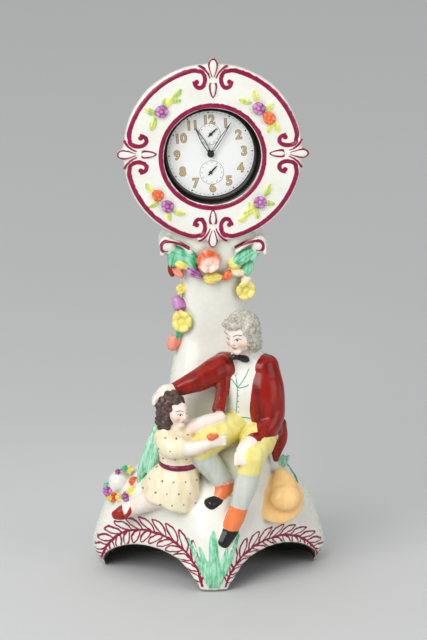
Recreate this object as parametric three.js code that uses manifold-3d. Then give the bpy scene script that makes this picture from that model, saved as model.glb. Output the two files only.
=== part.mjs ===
// A painted ceramic watch stand. A seated man and a kneeling girl lean on a rocky, arched base. Behind them
// a pillar carries a round plate, and a pocket watch stands in the plate's window.
// Millimetres. +Z is up, the front faces -Y and the origin is on the floor under the middle of the base.
import * as THREE from 'three';
import { mergeVertices } from 'three/addons/utils/BufferGeometryUtils.js';
import Module from 'manifold-3d';

// Driving sizes of the base.
const baseHalfWidth = 63.8;
const baseHalfDepth = 40;
const moundHeight = 100;
const baseWall = 4.5;
const archHeight = 18;
const archHalfSpan = 34.2;
const archTurn = 41;
const backArchHeight = 12;
const backArchHalfSpan = 22;

// Driving sizes of the pillar, its capital and the round plate.
const pillarX = 1.8;
const pillarY = 21;
const pillarHalfWidth = 17.5;
const pillarHalfDepth = 13;
const capitalFoot = 158;
const capitalHeight = 28;
const capitalHalfWidth = 26.6;
const plateX = 1.4;
const plateZ = 230.3;
const plateRadius = 47.9;
const plateFront = 1;
const plateThickness = 9;
const fleurReach = 50.5;
const reliefHeight = 1.1;

// Driving sizes of the window, the watch and the pocket that it stands in.
const gap = 0.35;
const windowShiftX = -0.2;
const windowShiftZ = -1.7;
const windowRadius = 26;
const windowDepth = 3.2;
const pocketLift = 1.2;
const pocketClearance = 1.3;
const pocketWall = 4;
const pocketSpare = 5.5;
const watchRadius = 27.2;
const watchThickness = 13.5;
const dialRadius = 23.2;
const dialThickness = 0.6;
const crystalThickness = 1;
const crystalInset = 0.5;
const handThickness = 0.45;
const handBladeWall = 0.32;
const hubRadius = 1.9;
const arborRadius = 0.6;
const minuteHandLength = 20.5;
const hourHandLength = 16.5;
const secondsHandLength = 5.2;
const alarmHandLength = 4.9;
const secondsDialDrop = 10.2;
const alarmDialRise = 10.4;
const crownRadius = 3.2;
const crownLength = 5.5;

// Degrees clockwise: the dial's own tilt, then each hand past the dial's twelve.
const dialTilt = -3.5;
const minuteHandTurn = 36;
const hourHandTurn = 333;
const alarmHandTurn = 49;
const secondsHandTurn = 45;

// Driving sizes of the figures and the trimmings: the man from his seat to the top of his hair, the girl from
// her waist to the top of hers, the hat's brim, the tall leaf and the garland's largest flower. The points
// further down are drawn at the heights of drawnAt.
const manHeight = 64;
const girlHeight = 40;
const hatWidth = 29.2;
const leafHeight = 32;
const flowerRadius = 6.4;
const drawnAt = { man: 64, girl: 40, hat: 29.2, leaf: 32, flower: 6.4 };

const TAU = 2 * Math.PI;
const wasm = await Module();
wasm.setup();

// Shape helpers

function solidOf(geometry) {
  const bare = geometry.clone();
  bare.deleteAttribute('normal');
  bare.deleteAttribute('uv');
  const welded = mergeVertices(bare, 1e-4);
  return new wasm.Manifold(new wasm.Mesh({
    numProp: 3,
    vertProperties: new Float32Array(welded.attributes.position.array),
    triVerts: new Uint32Array(welded.index.array),
  }));
}

function geometryOf(solid) {
  const mesh = solid.getMesh();
  const geometry = new THREE.BufferGeometry();
  geometry.setAttribute('position', new THREE.BufferAttribute(new Float32Array(mesh.vertProperties), 3));
  geometry.setIndex(new THREE.BufferAttribute(new Uint32Array(mesh.triVerts), 1));
  geometry.computeVertexNormals();
  return geometry;
}

function joined(geometries) {
  return geometries.flat(Infinity).map(solidOf).reduce((sum, solid) => sum.add(solid));
}

// A closed body through rings that have as many points each, with a fan over each end.
function loft(rings) {
  const points = rings.flat();
  const count = rings[0].length;
  const faces = [];
  for (let level = 0; level + 1 < rings.length; level++) {
    for (let i = 0; i < count; i++) {
      const a = level * count + i;
      const b = level * count + (i + 1) % count;
      faces.push(a, b, a + count, b, b + count, a + count);
    }
  }
  [0, rings.length - 1].forEach((level) => {
    const middle = new THREE.Vector3();
    rings[level].forEach((point) => middle.addScaledVector(point, 1 / count));
    points.push(middle);
    for (let i = 0; i < count; i++) {
      const a = level * count + i;
      const b = level * count + (i + 1) % count;
      faces.push(...(level === 0 ? [points.length - 1, b, a] : [points.length - 1, a, b]));
    }
  });
  let volume = 0;
  for (let f = 0; f < faces.length; f += 3) {
    volume += points[faces[f]].dot(points[faces[f + 1]].clone().cross(points[faces[f + 2]]));
  }
  if (volume < 0) faces.reverse();
  const geometry = new THREE.BufferGeometry().setFromPoints(points);
  geometry.setIndex(faces);
  return geometry;
}

// A limb, fold, petal or leaf: an oval section carried through stations [x, y, z, half width, half depth].
// The width lies along `across`, turned square to the route, and both ends are rounded.
function limb(stations, { across = [1, 0, 0], sides = 6, round = 0.8 } = {}) {
  const route = new THREE.CatmullRomCurve3(stations.map(([x, y, z]) => new THREE.Vector3(x, y, z)));
  const last = stations.length - 1;
  const sections = stations.map(([x, y, z, width, depth], i) => ({
    at: new THREE.Vector3(x, y, z),
    along: route.getTangent(i / last),
    width,
    depth,
  }));
  const capOf = ({ at, along, width, depth }, side) => ({
    at: at.clone().addScaledVector(along, side * round * Math.min(width, depth)),
    along,
    width: width * 0.6,
    depth: depth * 0.6,
  });
  const all = round ? [capOf(sections[0], -1), ...sections, capOf(sections[last], 1)] : sections;
  return loft(all.map(({ at, along, width, depth }) => {
    const side = new THREE.Vector3(...across);
    side.addScaledVector(along, -side.dot(along)).normalize();
    const out = new THREE.Vector3().crossVectors(along, side);
    return Array.from({ length: sides }, (_, i) => at.clone()
      .addScaledVector(side, width * Math.cos(i / sides * TAU))
      .addScaledVector(out, depth * Math.sin(i / sides * TAU)));
  }));
}

// The frame of a turned part: tipped about X, leaned about Y, then swung about Z, in degrees.
function frameAt(at, turn = [0, 0, 0], scale = 1) {
  const angles = new THREE.Euler(...turn.map(THREE.MathUtils.degToRad), 'ZYX');
  return new THREE.Matrix4().compose(
    new THREE.Vector3(...at),
    new THREE.Quaternion().setFromEuler(angles),
    new THREE.Vector3(scale, scale, scale),
  );
}

function placed(geometries, frame) {
  return geometries.flat(Infinity).map((geometry) => geometry.clone().applyMatrix4(frame));
}

// An egg with its own three half sizes.
function egg(at, halfSizes, turn = [0, 0, 0], around = 10, levels = 6) {
  const geometry = new THREE.SphereGeometry(1, around, levels);
  geometry.scale(...halfSizes);
  return geometry.applyMatrix4(frameAt(at, turn));
}

// A flat leaf or petal with a ridge: half length and half width in the plane that faces `out`.
function blade(at, direction, out, halfLength, halfWidth, thickness) {
  const facing = new THREE.Vector3(...out).normalize();
  const long = new THREE.Vector3(...direction);
  long.addScaledVector(facing, -long.dot(facing)).normalize();
  const wide = new THREE.Vector3().crossVectors(facing, long);
  const frame = new THREE.Matrix4().makeBasis(
    long.multiplyScalar(halfLength),
    wide.multiplyScalar(halfWidth),
    facing.multiplyScalar(thickness),
  );
  return new THREE.OctahedronGeometry(1).applyMatrix4(frame.setPosition(...at));
}

// A blossom: a scalloped dish of petals with a raised heart, in the plane that faces `out`.
function blossom(at, out, radius, petals = 5, thickness = 1.6) {
  const facing = new THREE.Vector3(...out).normalize();
  const side = new THREE.Vector3(0, 0, 1).cross(facing).normalize();
  const up = new THREE.Vector3().crossVectors(facing, side);
  const ring = (share, scallop, lift) => Array.from({ length: petals * 2 }, (_, i) => {
    const angle = (i + 0.5) / petals / 2 * TAU;
    const reach = radius * share * (i % 2 ? 1 - scallop : 1);
    return new THREE.Vector3(...at)
      .addScaledVector(side, reach * Math.cos(angle))
      .addScaledVector(up, reach * Math.sin(angle))
      .addScaledVector(facing, thickness * lift * (i % 2 ? 0.7 : 1));
  });
  return loft([ring(1, 0.2, -0.3), ring(0.5, 0.1, 0.9)]);
}

// A drum about an axis that runs along Y, from y0 to y1.
function drum(x, z, radius, y0, y1, sides = 36) {
  const geometry = new THREE.CylinderGeometry(radius, radius, y1 - y0, sides);
  return geometry.translate(x, (y0 + y1) / 2, z);
}

// A front outline of points (x, z) carried straight back from y0 to y1.
function slab(outline, y0, y1) {
  const shape = new THREE.Shape(outline.map(([x, z]) => new THREE.Vector2(x, z)));
  const geometry = new THREE.ExtrudeGeometry(shape, { depth: y1 - y0, bevelEnabled: false });
  return geometry.rotateX(Math.PI / 2).translate(0, y1, 0);
}

// Base: a hollow rocky mound on three feet

// Half of the base's outline on the floor, from the front foot to the middle of the back, as shares of its
// half width and half depth. The front sides are drawn in between the feet.
const footOutline = [
  [0, -1], [0.14, -0.95], [0.31, -0.67], [0.59, -0.27], [0.81, 0], [0.95, 0.22],
  [1, 0.5], [0.98, 0.81], [0.86, 0.97], [0.45, 1], [0, 1],
];
const outlineRoute = new THREE.CatmullRomCurve3(
  [...footOutline, ...footOutline.slice(1, -1).reverse().map(([x, y]) => [-x, y])]
    .map(([x, y]) => new THREE.Vector3(x, y, 0)),
  true,
);
const archX = baseHalfWidth * 0.545;
const archY = baseHalfDepth * -0.385;
const archReach = baseHalfDepth * 0.45;
const outlineCount = 28;
const hollowCount = 20;

// Levels of the mound: share of its height, share of the half width, front and back as shares of the half
// depth, how far the three-footed outline has turned into an oval, and a shift to the right as a share of
// the half width.
const moundLevels = [
  [0, 0.915, -0.95, 0.94, 0, 0],
  [0.04, 0.955, -0.975, 0.97, 0, 0],
  [0.11, 1, -1, 1, 0, 0],
  [0.28, 0.94, -0.93, 0.99, 0.12, 0],
  [0.36, 0.9, -0.86, 0.97, 0.25, 0],
  [0.44, 0.835, -0.76, 0.94, 0.45, 0],
  [0.53, 0.71, -0.6, 0.92, 0.65, 0.02],
  [0.6, 0.61, -0.42, 0.9, 0.8, 0.045],
  [0.72, 0.48, -0.2, 0.88, 1, 0.04],
  [0.86, 0.4, -0.02, 0.86, 1, 0.03],
  [1, 0.37, 0.1, 0.84, 1, 0.03],
];
const hollowLevels = moundLevels.slice(0, 7);

function moundRing([height, width, front, back, roundness, shift], wall = 0, rise = 0, count = outlineCount) {
  const halfWidth = width * baseHalfWidth - wall;
  const y0 = front * baseHalfDepth + wall;
  const y1 = back * baseHalfDepth - wall;
  return Array.from({ length: count }, (_, i) => {
    const share = outlineRoute.getPoint(i / count);
    const plan = share.clone().lerp(share.clone().normalize(), roundness);
    return new THREE.Vector3(
      shift * baseHalfWidth + plan.x * halfWidth,
      (y0 + y1) / 2 + plan.y * (y1 - y0) / 2,
      height * moundHeight + rise,
    );
  });
}

// Where the mound's front surface lies at a given place across and up.
function moundFront(x, z) {
  const above = moundLevels.findIndex(([height]) => height * moundHeight > z);
  const [low, high] = [moundLevels[above - 1], moundLevels[above]];
  const mix = (z / moundHeight - low[0]) / (high[0] - low[0]);
  const ring = moundRing(low.map((value, i) => THREE.MathUtils.lerp(value, high[i], mix)));
  let front = Infinity;
  ring.forEach((a, i) => {
    const b = ring[(i + 1) % ring.length];
    if ((a.x - x) * (b.x - x) <= 0 && a.x !== b.x) {
      front = Math.min(front, a.y + (b.y - a.y) * (x - a.x) / (b.x - a.x));
    }
  });
  return front;
}

function makeMound() {
  const rock = egg(
    [baseHalfWidth * 0.14, baseHalfDepth * -0.05, moundHeight * 0.48],
    [baseHalfWidth * 0.41, baseHalfDepth * 0.5, moundHeight * 0.35],
    [0, 0, 0], 12, 8,
  );
  return [loft(moundLevels.map((level) => moundRing(level))), rock];
}

// An arch's opening from y0 to y1: a half oval that stands on the floor.
function archOpening(halfSpan, height, y0, y1, steps = 10) {
  const outline = [[-halfSpan, -1]];
  for (let i = 0; i <= steps; i++) {
    const angle = Math.PI * (1 - i / steps);
    outline.push([halfSpan * Math.cos(angle), height * Math.sin(angle)]);
  }
  outline.push([halfSpan, -1]);
  return slab(outline, y0, y1);
}

// The hollow under the mound, and the arches between its three feet.
function cutBase(solid) {
  const hollow = loft([
    moundRing(hollowLevels[0], baseWall, -1, hollowCount),
    ...hollowLevels.slice(1).map((level) => moundRing(level, baseWall, -baseWall, hollowCount)),
  ]);
  const frontArches = [-1, 1].map((side) => archOpening(archHalfSpan, archHeight, -archReach, archReach)
    .applyMatrix4(frameAt([side * archX, archY, 0], [0, 0, side * archTurn])));
  const backArch = archOpening(backArchHalfSpan, backArchHeight, baseHalfDepth / 2, baseHalfDepth + 1);
  return solid.subtract(joined([hollow])).subtract(joined([frontArches, backArch]));
}

// Laurel branches that follow the two front arches: leaf pairs on both sides of a stem.
function makeLaurel() {
  const leaves = [];
  const pairs = 9;
  const turn = THREE.MathUtils.degToRad(archTurn);
  for (const side of [-1, 1]) {
    for (let i = 0; i < pairs; i++) {
      const angle = Math.PI * (0.1 + 0.74 * i / (pairs - 1));
      for (const [lift, lean] of [[4.5, 0.6], [11, -0.6]]) {
        const along = (archHalfSpan + lift * 0.6) * Math.cos(angle);
        const x = side * Math.min(archX - along * Math.cos(turn), baseHalfWidth * 0.92);
        const z = (archHeight + lift) * Math.sin(angle) + 1.5;
        const tilt = Math.PI / 2 - angle + lean;
        const step = 0.5;
        const y = moundFront(x, z);
        const slopeX = (moundFront(x + step, z) - y) / step;
        const slopeZ = (moundFront(x, z + step) - y) / step;
        const direction = [side * Math.cos(tilt), side * slopeX * Math.cos(tilt), Math.sin(tilt)];
        leaves.push(blade([x, y, z], direction, [slopeX, -1, slopeZ], 5, 2.1, 0.9));
      }
    }
  }
  return leaves;
}

// Pillar and capital

function makePillar() {
  const ring = (z, halfWidth, y0, y1, sides = 20) => Array.from({ length: sides }, (_, i) => {
    const angle = (i + 0.5) / sides * TAU;
    const bulge = (Math.abs(Math.cos(angle)) ** 3 + Math.abs(Math.sin(angle)) ** 3) ** (-1 / 3);
    return new THREE.Vector3(
      pillarX + halfWidth * bulge * Math.cos(angle),
      (y0 + y1) / 2 + (y1 - y0) / 2 * bulge * Math.sin(angle),
      z,
    );
  });
  const front = pillarY - pillarHalfDepth;
  const back = pillarY + pillarHalfDepth;
  const capital = (share) => capitalFoot + share * capitalHeight;
  const ear = capitalHalfWidth;
  return [
    loft([
      ring(moundHeight * 0.7, pillarHalfWidth * 1.5, front - 6, back + 2),
      ring(moundHeight, pillarHalfWidth * 1.33, front - 9, back + 1),
      ring(moundHeight * 1.15, pillarHalfWidth * 1.2, front - 5, back),
      ring(moundHeight * 1.3, pillarHalfWidth, front, back),
      ring(capital(0), pillarHalfWidth, front, back),
      ring(capital(0.3), pillarHalfWidth * 1.1, front - 1, back),
      ring(capital(0.55), (pillarHalfWidth + ear) / 2, front - 3, back),
      ring(capital(0.8), ear - 1, front - 4, back - 1),
      ring(capital(1), ear - 2, front - 4, back - 3),
    ]),
    ...[-1, 1].map((side) => limb([
      [pillarX + side * (ear - 2), front - 2.5, capital(0.8), 4.6, 4.6],
      [pillarX + side * (ear - 2), back - 6, capital(0.8), 4.2, 4.2],
    ])),
    ...[-1, 1].map((side) => limb([
      [pillarX + side * (ear + 1.5), front - 5, capital(0.62), 0.9, 0.9],
      [pillarX + side * (ear + 1), front - 6.5, capital(0.92), 1.1, 0.9],
      [pillarX + side * (ear - 5), front - 6, capital(1.0), 1.1, 0.9],
      [pillarX + side * (ear * 0.5), front - 5, capital(0.82), 0.8, 0.8],
    ], { sides: 4 })),
  ];
}

// Round plate, its window and the pocket behind it

const windowX = plateX + windowShiftX;
const windowZ = plateZ + windowShiftZ;
const lipBack = plateFront + windowDepth;
const pocketRadius = watchRadius + pocketClearance;
const pocketX = windowX;
const pocketZ = windowZ + pocketLift;
const pocketBack = lipBack + watchThickness + 2 * gap + pocketSpare;
const notchFront = plateFront + plateThickness + 0.5;

// The plate's rim swells a little between the four fleurs.
function rimRadius(angle) {
  return plateRadius * (1 - 0.008 * Math.cos(4 * angle));
}

function makePlate() {
  const rim = (scale, y, sides = 40) => Array.from({ length: sides }, (_, i) => {
    const angle = i / sides * TAU;
    const radius = rimRadius(angle) * scale;
    return new THREE.Vector3(plateX + radius * Math.cos(angle), y, plateZ + radius * Math.sin(angle));
  });
  const plate = loft([
    rim(0.965, plateFront),
    rim(1, plateFront + 2),
    rim(1, plateFront + plateThickness - 2),
    rim(0.95, plateFront + plateThickness),
  ]);
  const collar = drum(pocketX, pocketZ, pocketRadius + pocketWall, plateFront + 3, pocketBack);
  const neck = limb([
    [pillarX, pillarY - 3, capitalFoot + capitalHeight * 0.7, 17, 9],
    [pillarX, pillarY - 7, pocketZ - pocketRadius, 15, 7],
  ], { sides: 8, round: 0 });
  return [plate, collar, neck];
}

function cutPocket(solid) {
  const window = drum(windowX, windowZ, windowRadius, plateFront - 3, pocketBack);
  const pocket = drum(pocketX, pocketZ, pocketRadius, lipBack, pocketBack + 1);
  const notchHalfWidth = crownRadius + pocketClearance;
  const notch = slab([
    [pocketX - notchHalfWidth, pocketZ], [pocketX + notchHalfWidth, pocketZ],
    [pocketX + notchHalfWidth, pocketZ + pocketRadius + pocketWall + 1],
    [pocketX - notchHalfWidth, pocketZ + pocketRadius + pocketWall + 1],
  ], notchFront, pocketBack + 1);
  return solid.subtract(joined([window, pocket, notch]));
}

// One C-scroll of the plate's border: an arc along the rim that curls inwards at both ends.
function scrollRoute(quadrant) {
  const half = [];
  for (const degrees of [45, 31, 17]) {
    const angle = THREE.MathUtils.degToRad(degrees);
    const radius = plateRadius * 0.957;
    half.push([radius * Math.cos(angle), radius * Math.sin(angle)]);
  }
  const [curlX, curlZ] = [plateRadius * 0.806, plateRadius * 0.155];
  for (const [degrees, radius] of [[0, 5.3], [-60, 4.4], [-140, 4.8], [-215, 4.4], [-275, 2.2]]) {
    const angle = THREE.MathUtils.degToRad(degrees);
    half.push([curlX + radius * Math.cos(angle), curlZ + radius * Math.sin(angle)]);
  }
  const mirrored = half.slice(1).map(([x, z]) => [z, x]);
  const turn = quadrant * Math.PI / 2;
  return [...half.reverse(), ...mirrored].map(([x, z]) => [
    plateX + x * Math.cos(turn) - z * Math.sin(turn),
    plateZ + x * Math.sin(turn) + z * Math.cos(turn),
  ]);
}

function makePlateRelief() {
  const parts = [];
  const face = plateFront + reliefHeight * 0.1;
  const out = [0, -1, 0];
  for (let quadrant = 0; quadrant < 4; quadrant++) {
    const route = scrollRoute(quadrant).map(([x, z]) => [x, face, z, 1.1, reliefHeight]);
    parts.push(limb(route, { across: [0, -1, 0], sides: 3, round: 0 }));
    const turn = quadrant * Math.PI / 2;
    const along = [Math.cos(turn), 0, Math.sin(turn)];
    const across = [-Math.sin(turn), 0, Math.cos(turn)];
    const at = (reach, side) => [
      plateX + along[0] * reach + across[0] * side,
      face + Math.abs(side) * 0.02,
      plateZ + along[2] * reach + across[2] * side,
    ];
    const waist = fleurReach - 11;
    parts.push(blade(at(waist + 4.8, 0), along, out, 6.2, 2.7, 1.6));
    parts.push(blade(at(waist - 4.6, 0), along, out, 4.6, 1.9, 1.5));
    for (const side of [-1, 1]) {
      const lean = [along[0] + across[0] * side * 0.9, 0, along[2] + across[2] * side * 0.9];
      parts.push(blade(at(waist + 4.6, side * 4.2), lean, out, 4.6, 1.1, 1));
    }
  }
  const ring = [[-1, 1], [-1, -reliefHeight], [1.2, -reliefHeight], [2.8, 0.6], [-1, 1]];
  const profile = ring.map(([r, y]) => new THREE.Vector2(windowRadius + r, plateFront + y));
  parts.push(new THREE.LatheGeometry(profile, 36).translate(windowX, 0, windowZ));
  return parts;
}

// Four small sprigs on the plate, each with two blossoms and some leaves.
function makeSprigs() {
  const parts = [];
  const out = [0, -1, 0];
  for (let quadrant = 0; quadrant < 4; quadrant++) {
    const turn = (quadrant + 0.5) * Math.PI / 2;
    const place = (degrees, radius) => {
      const angle = turn + THREE.MathUtils.degToRad(degrees);
      return [plateX + radius * Math.cos(angle), plateFront, plateZ + radius * Math.sin(angle)];
    };
    const tangent = [-Math.sin(turn), 0, Math.cos(turn)];
    const size = flowerRadius / drawnAt.flower;
    const ring = plateRadius * 0.76;
    const outer = plateRadius * 0.84;
    parts.push(blossom(place(-5, ring), out, 2.9 * size, 4, 1.2 * size));
    parts.push(blossom(place(6, ring), out, 2.9 * size, 5, 1.2 * size));
    parts.push(blade(place(17, ring), tangent, out, 3.6 * size, 1.5 * size, 0.9 * size));
    parts.push(blade(place(-16, ring), tangent, out, 3.6 * size, 1.5 * size, 0.9 * size));
    parts.push(blade(place(0, outer), tangent, out, 2.6 * size, 1.2 * size, 0.8 * size));
  }
  return parts;
}

// Garland of flowers across the capital and down the pillar's left edge. A place is a share of the pillar's
// half width from its middle, millimetres back from its front face, and a share of the capital's height.

function makeGarland() {
  const at = (across, back, up) => [
    pillarX + across * pillarHalfWidth,
    pillarY - pillarHalfDepth + back,
    capitalFoot + up * capitalHeight,
  ];
  const out = [0, -1, 0.15];
  const left = [-0.6, -1, 0.1];
  const flowers = [
    [at(-0.15, -4, 0.46), 6.4, 6, out], [at(-0.03, -2, 0.17), 5, 5, out], [at(-0.66, -2, 0.36), 4.8, 4, out],
    [at(0.37, -2, 0.3), 3.8, 5, out], [at(0.65, -2, 0.45), 4.6, 5, out], [at(0.9, 1, 0.2), 5, 5, out],
    [at(0.86, 2, -0.12), 5.6, 6, out], [at(-1.07, 1, 0.46), 4.6, 5, left], [at(-1.02, 4, 0.18), 4.6, 4, left],
    [at(-0.97, 5, -0.09), 3.8, 5, left], [at(-0.99, 5, -0.37), 4.8, 5, left],
    [at(-0.88, 4, -0.73), 6.4, 6, left], [at(-1.11, 6, -1.16), 4.2, 3, left],
  ];
  const leaves = [
    [at(-1.1, -3, 0.7), [1, 0, -0.35], 9, 3.6], [at(-0.62, -4, 0.62), [1, 0, -0.9], 6, 2.8],
    [at(1.07, -3, 0.68), [1, 0, 0.9], 8, 3.4], [at(0.93, -1, 0.46), [0.3, 0, 1], 6, 2.6],
    [at(-0.99, 4, -0.96), [0.2, 0, 1], 5, 1.8],
  ];
  const size = flowerRadius / drawnAt.flower;
  return [
    flowers.map(([place, radius, petals, facing]) => blossom(place, facing, radius * size, petals, 2.8 * size)),
    leaves.map(([place, direction, length, width]) => (
      blade(place, direction, out, length * size, width * size, 2 * size)
    )),
  ];
}

// Figures

// The seated man, in millimetres from the middle of his seat.
const manSeat = [baseHalfWidth * 0.25, baseHalfDepth * -0.15, moundHeight * 0.84];

function makeMan() {
  const legLeft = [
    limb([[-1, 0, 0, 9, 9], [-12, -12, -2, 8.5, 8], [-23.5, -21, -8, 7, 6.8]], { across: [0, 0, 1] }),
    limb([[-22.5, -19, -11, 7, 6], [-16, -17.5, -19.5, 6.4, 5.8], [-9.5, -16, -28, 4.8, 4.6]]),
    limb([[-8.5, -15, -29.5, 5, 4.8], [-12, -18.5, -34, 4.6, 4], [-17.5, -22.5, -37, 3.6, 3]]),
  ];
  const legRight = [
    limb([[11, 0, -3, 10, 9], [8.5, -13, -6, 9.5, 8.5], [3.5, -24.5, -11.5, 8, 8]]),
    limb([[3, -25.5, -15, 6.8, 6.8], [1, -26.5, -27, 6.2, 6], [-3, -26.5, -40, 4.8, 4.8]]),
    limb([[-3.5, -26.5, -42, 5.2, 5], [-7, -27.5, -49.5, 4.6, 4.2], [-10.5, -29.5, -55, 3.6, 3.2]]),
  ];
  const torso = limb([
    [5, 2, -5, 14, 10], [5, 2, 7, 13.5, 10.5], [4, 1, 20, 14.5, 11.5],
    [4, 1, 31, 13.5, 9.5], [1, -1, 38, 6.5, 6.5],
  ], { sides: 10 });
  const coat = [
    limb([[11, -4, 34, 5, 4.5], [13, -7.5, 22, 7.5, 5], [14.5, -8, 8, 7.5, 5.5], [17, -4, -4, 6, 5]]),
    limb([[-9, -5, 29, 3.8, 3.4], [-10.6, -7.5, 18, 3.4, 3], [-12.8, -9, 9, 2.8, 2.4]]),
    limb([[19, 0, 0, 6, 5], [20, 0, -9, 5, 3.6], [19, -1, -20, 1.6, 1.6]]),
  ];
  const edgeOn = { across: [0, 1, 0] };
  const arms = [
    limb([[-2, 0, 32.5, 8, 8], [-13, -3, 30, 7.6, 7.2], [-24, -7, 26, 6.2, 5.8], [-36, -10, 21.8, 4, 4]]),
    limb([[-36, -10, 21.8, 3, 2.8], [-41, -12, 21.8, 4.4, 3.2], [-45.5, -14, 19, 3.6, 2.4]], edgeOn),
    limb([[12, -1, 32, 8.5, 8.5], [16, -3, 18, 7.8, 8], [16.5, -7, 4, 7.4, 7.4], [10, -17, -4.5, 4.6, 4.6]]),
    limb([[9, -18.5, -4.5, 3.4, 3.4], [4, -22.5, -5, 4.6, 3.6], [-0.5, -25.5, -9, 4, 3]]),
  ];
  const head = [
    egg([0, 0, 0], [8, 9, 11.2], [0, 0, 0], 9, 7),
    egg([0.8, 2.5, 3], [10.6, 9.6, 9.8], [0, 0, 0], 9, 6),
    egg([8.6, 1, -4.5], [4, 6, 7.5], [0, 0, 0], 7, 5),
    egg([-7.6, 1, -1], [2.8, 5, 6], [0, 0, 0], 6, 5),
    egg([-1, -5, 8], [6.5, 4.6, 3.6], [-20, 0, 0], 7, 4),
    limb([[0, -8.2, 2.5, 1.1, 1.2], [0, -9.8, -2.2, 1.7, 1.7]], { sides: 4 }),
    egg([0, -7, -8.2], [2.8, 2.4, 2.2], [0, 0, 0], 6, 4),
  ];
  const bow = [-1, 1].map((side) => (
    blade([-1.5 + side * 2.6, -7.5, 38.5], [1, 0, side * -0.25], [0, -1, 0], 3, 1.9, 2.5)
  ));
  return [
    legLeft, legRight, torso, coat, arms, bow,
    limb([[1, 0, 36, 5.4, 5.4], [0, -4, 44, 4.6, 4.8]]),
    placed(head, frameAt([-0.8, -8, 52], [16, 0, -24])),
  ];
}

// The kneeling girl, in millimetres from her waist.
const girlWaist = [baseHalfWidth * -0.28, baseHalfDepth * -0.5, moundHeight * 0.66];

function makeGirl() {
  const head = [
    egg([0, 0, 0], [6.6, 7.2, 8.4], [0, 0, 0], 8, 6),
    egg([0, 2.6, 1.4], [7.8, 7.4, 8.6], [0, 0, 0], 8, 6),
    egg([-5, 3, -5], [4, 4.6, 5.4], [0, 0, 0], 6, 5),
    limb([[0, -6.8, 1, 0.9, 0.9], [0, -8, -1.6, 1.3, 1.3]], { sides: 4 }),
  ];
  const bodice = limb([
    [0.5, 0, 0, 9.4, 8], [-0.5, -2, 8, 10.5, 8.5], [-2, -2, 16, 9, 7.5], [-2, -3, 23, 4.5, 4.5],
  ], { sides: 8 });
  const skirt = limb([
    [0.5, 0, 0, 9.6, 8.5], [0, -1, -6, 11.3, 9.5], [-1.8, -2, -13.5, 13.8, 10], [-4.4, -2, -21.5, 14.8, 9],
  ], { sides: 10, round: 0.3 });
  const neck = limb([[-2, -4, 21, 3.8, 3.8], [-2, -5, 26, 3.6, 3.6]]);
  const leg = [
    limb([[-9, 1, -17, 7, 6.5], [-18, 5, -22.5, 5.6, 5.2], [-26, 8, -27, 4, 3.8]]),
    limb([[-26, 8, -27, 4, 4], [-31, 8.5, -29.5, 4, 3.4], [-33.5, 9, -30, 2.8, 2.4]]),
  ];
  const arms = [
    limb([[-6.5, -4, 16.5, 6.5, 6.5], [-5, -9, 11, 6.2, 6.2]]),
    limb([[-4, -10, 10.5, 4.4, 4.2], [7, -13.5, 11.5, 3.8, 3.6], [16, -15, 15, 2.8, 2.6]]),
    limb([[16, -15, 15, 2.8, 2.2], [21.5, -15, 16.5, 3, 2]]),
    limb([[5, -2, 19, 3.4, 3.2], [16, -1, 22, 3.2, 3], [26, 1, 24, 2.6, 2.4]]),
  ];
  return [bodice, skirt, neck, leg, arms, placed(head, frameAt([-2, -4.5, 30], [6, 0, 34]))];
}

// What lies on the mound: a trimmed bonnet on the left, a soft hat on the right, and leaves.
function makeBonnet() {
  const [bonnetX, bonnetZ] = [baseHalfWidth * -0.745, moundHeight * 0.45];
  const flowers = [];
  const count = 7;
  for (let i = 0; i < count; i++) {
    const angle = (i + 0.3) / count * TAU;
    const [x, z] = [7.6 * Math.cos(angle), 8 * Math.sin(angle) - 1];
    flowers.push(blossom([x, 0.25 * z - 1.5, z], [-0.2, -0.9, 0.3], 3.3, 4, 2.4));
  }
  const frame = frameAt([bonnetX, moundFront(bonnetX, bonnetZ) + 1, bonnetZ], [0, 0, 0], hatWidth / drawnAt.hat);
  return placed([egg([0, 0, 0], [7, 6.5, 7.2], [0, 0, 0], 10, 7), flowers], frame);
}

function makeHat() {
  const [hatX, hatZ] = [baseHalfWidth * 0.565, moundHeight * 0.45];
  const frame = frameAt([hatX, moundFront(hatX, hatZ) - 2.5, hatZ], [-22, 0, 14], hatWidth / drawnAt.hat);
  const brim = egg([0, 0, -1], [14.6, 3, 13.8], [0, 0, 0], 12, 8);
  const crown = egg([2, -3.4, -1], [9.2, 4.4, 8], [0, 0, 0], 10, 6);
  const peak = limb([[2, -3, 2, 7, 4], [1, -2, 10, 4.4, 3], [0, -1, 15, 1.8, 1.8]]);
  return placed([brim, crown, peak], frame);
}

function makeLeaves() {
  const size = leafHeight / drawnAt.leaf;
  const leafFoot = frameAt([baseHalfWidth * -0.556, baseHalfDepth * -0.02, moundHeight * 0.51], [0, 0, 0], size);
  const tuftFoot = frameAt([baseHalfWidth * 0.6, baseHalfDepth * 0.07, moundHeight * 0.6], [0, 0, 0], size);
  return [
    placed([
      limb([[0, 0, 0, 2.8, 2.6], [2.5, -1, 10, 3, 2.6], [6.5, 0, 22, 2.4, 2.2], [10, 3, 32, 0.9, 1.2]]),
      limb([[4.5, -4, 2, 2.4, 2.6], [7, -4, 11, 2.6, 2.6], [10.5, -2, 22, 1.6, 1.8]]),
    ], leafFoot),
    placed(
      [-1, 0, 1].map((side) => blade([side * 2.5, 0, 0], [side * 0.5, 0, 1], [0, -1, 0.3], 4.5, 2, 4)),
      tuftFoot,
    ),
  ];
}

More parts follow.
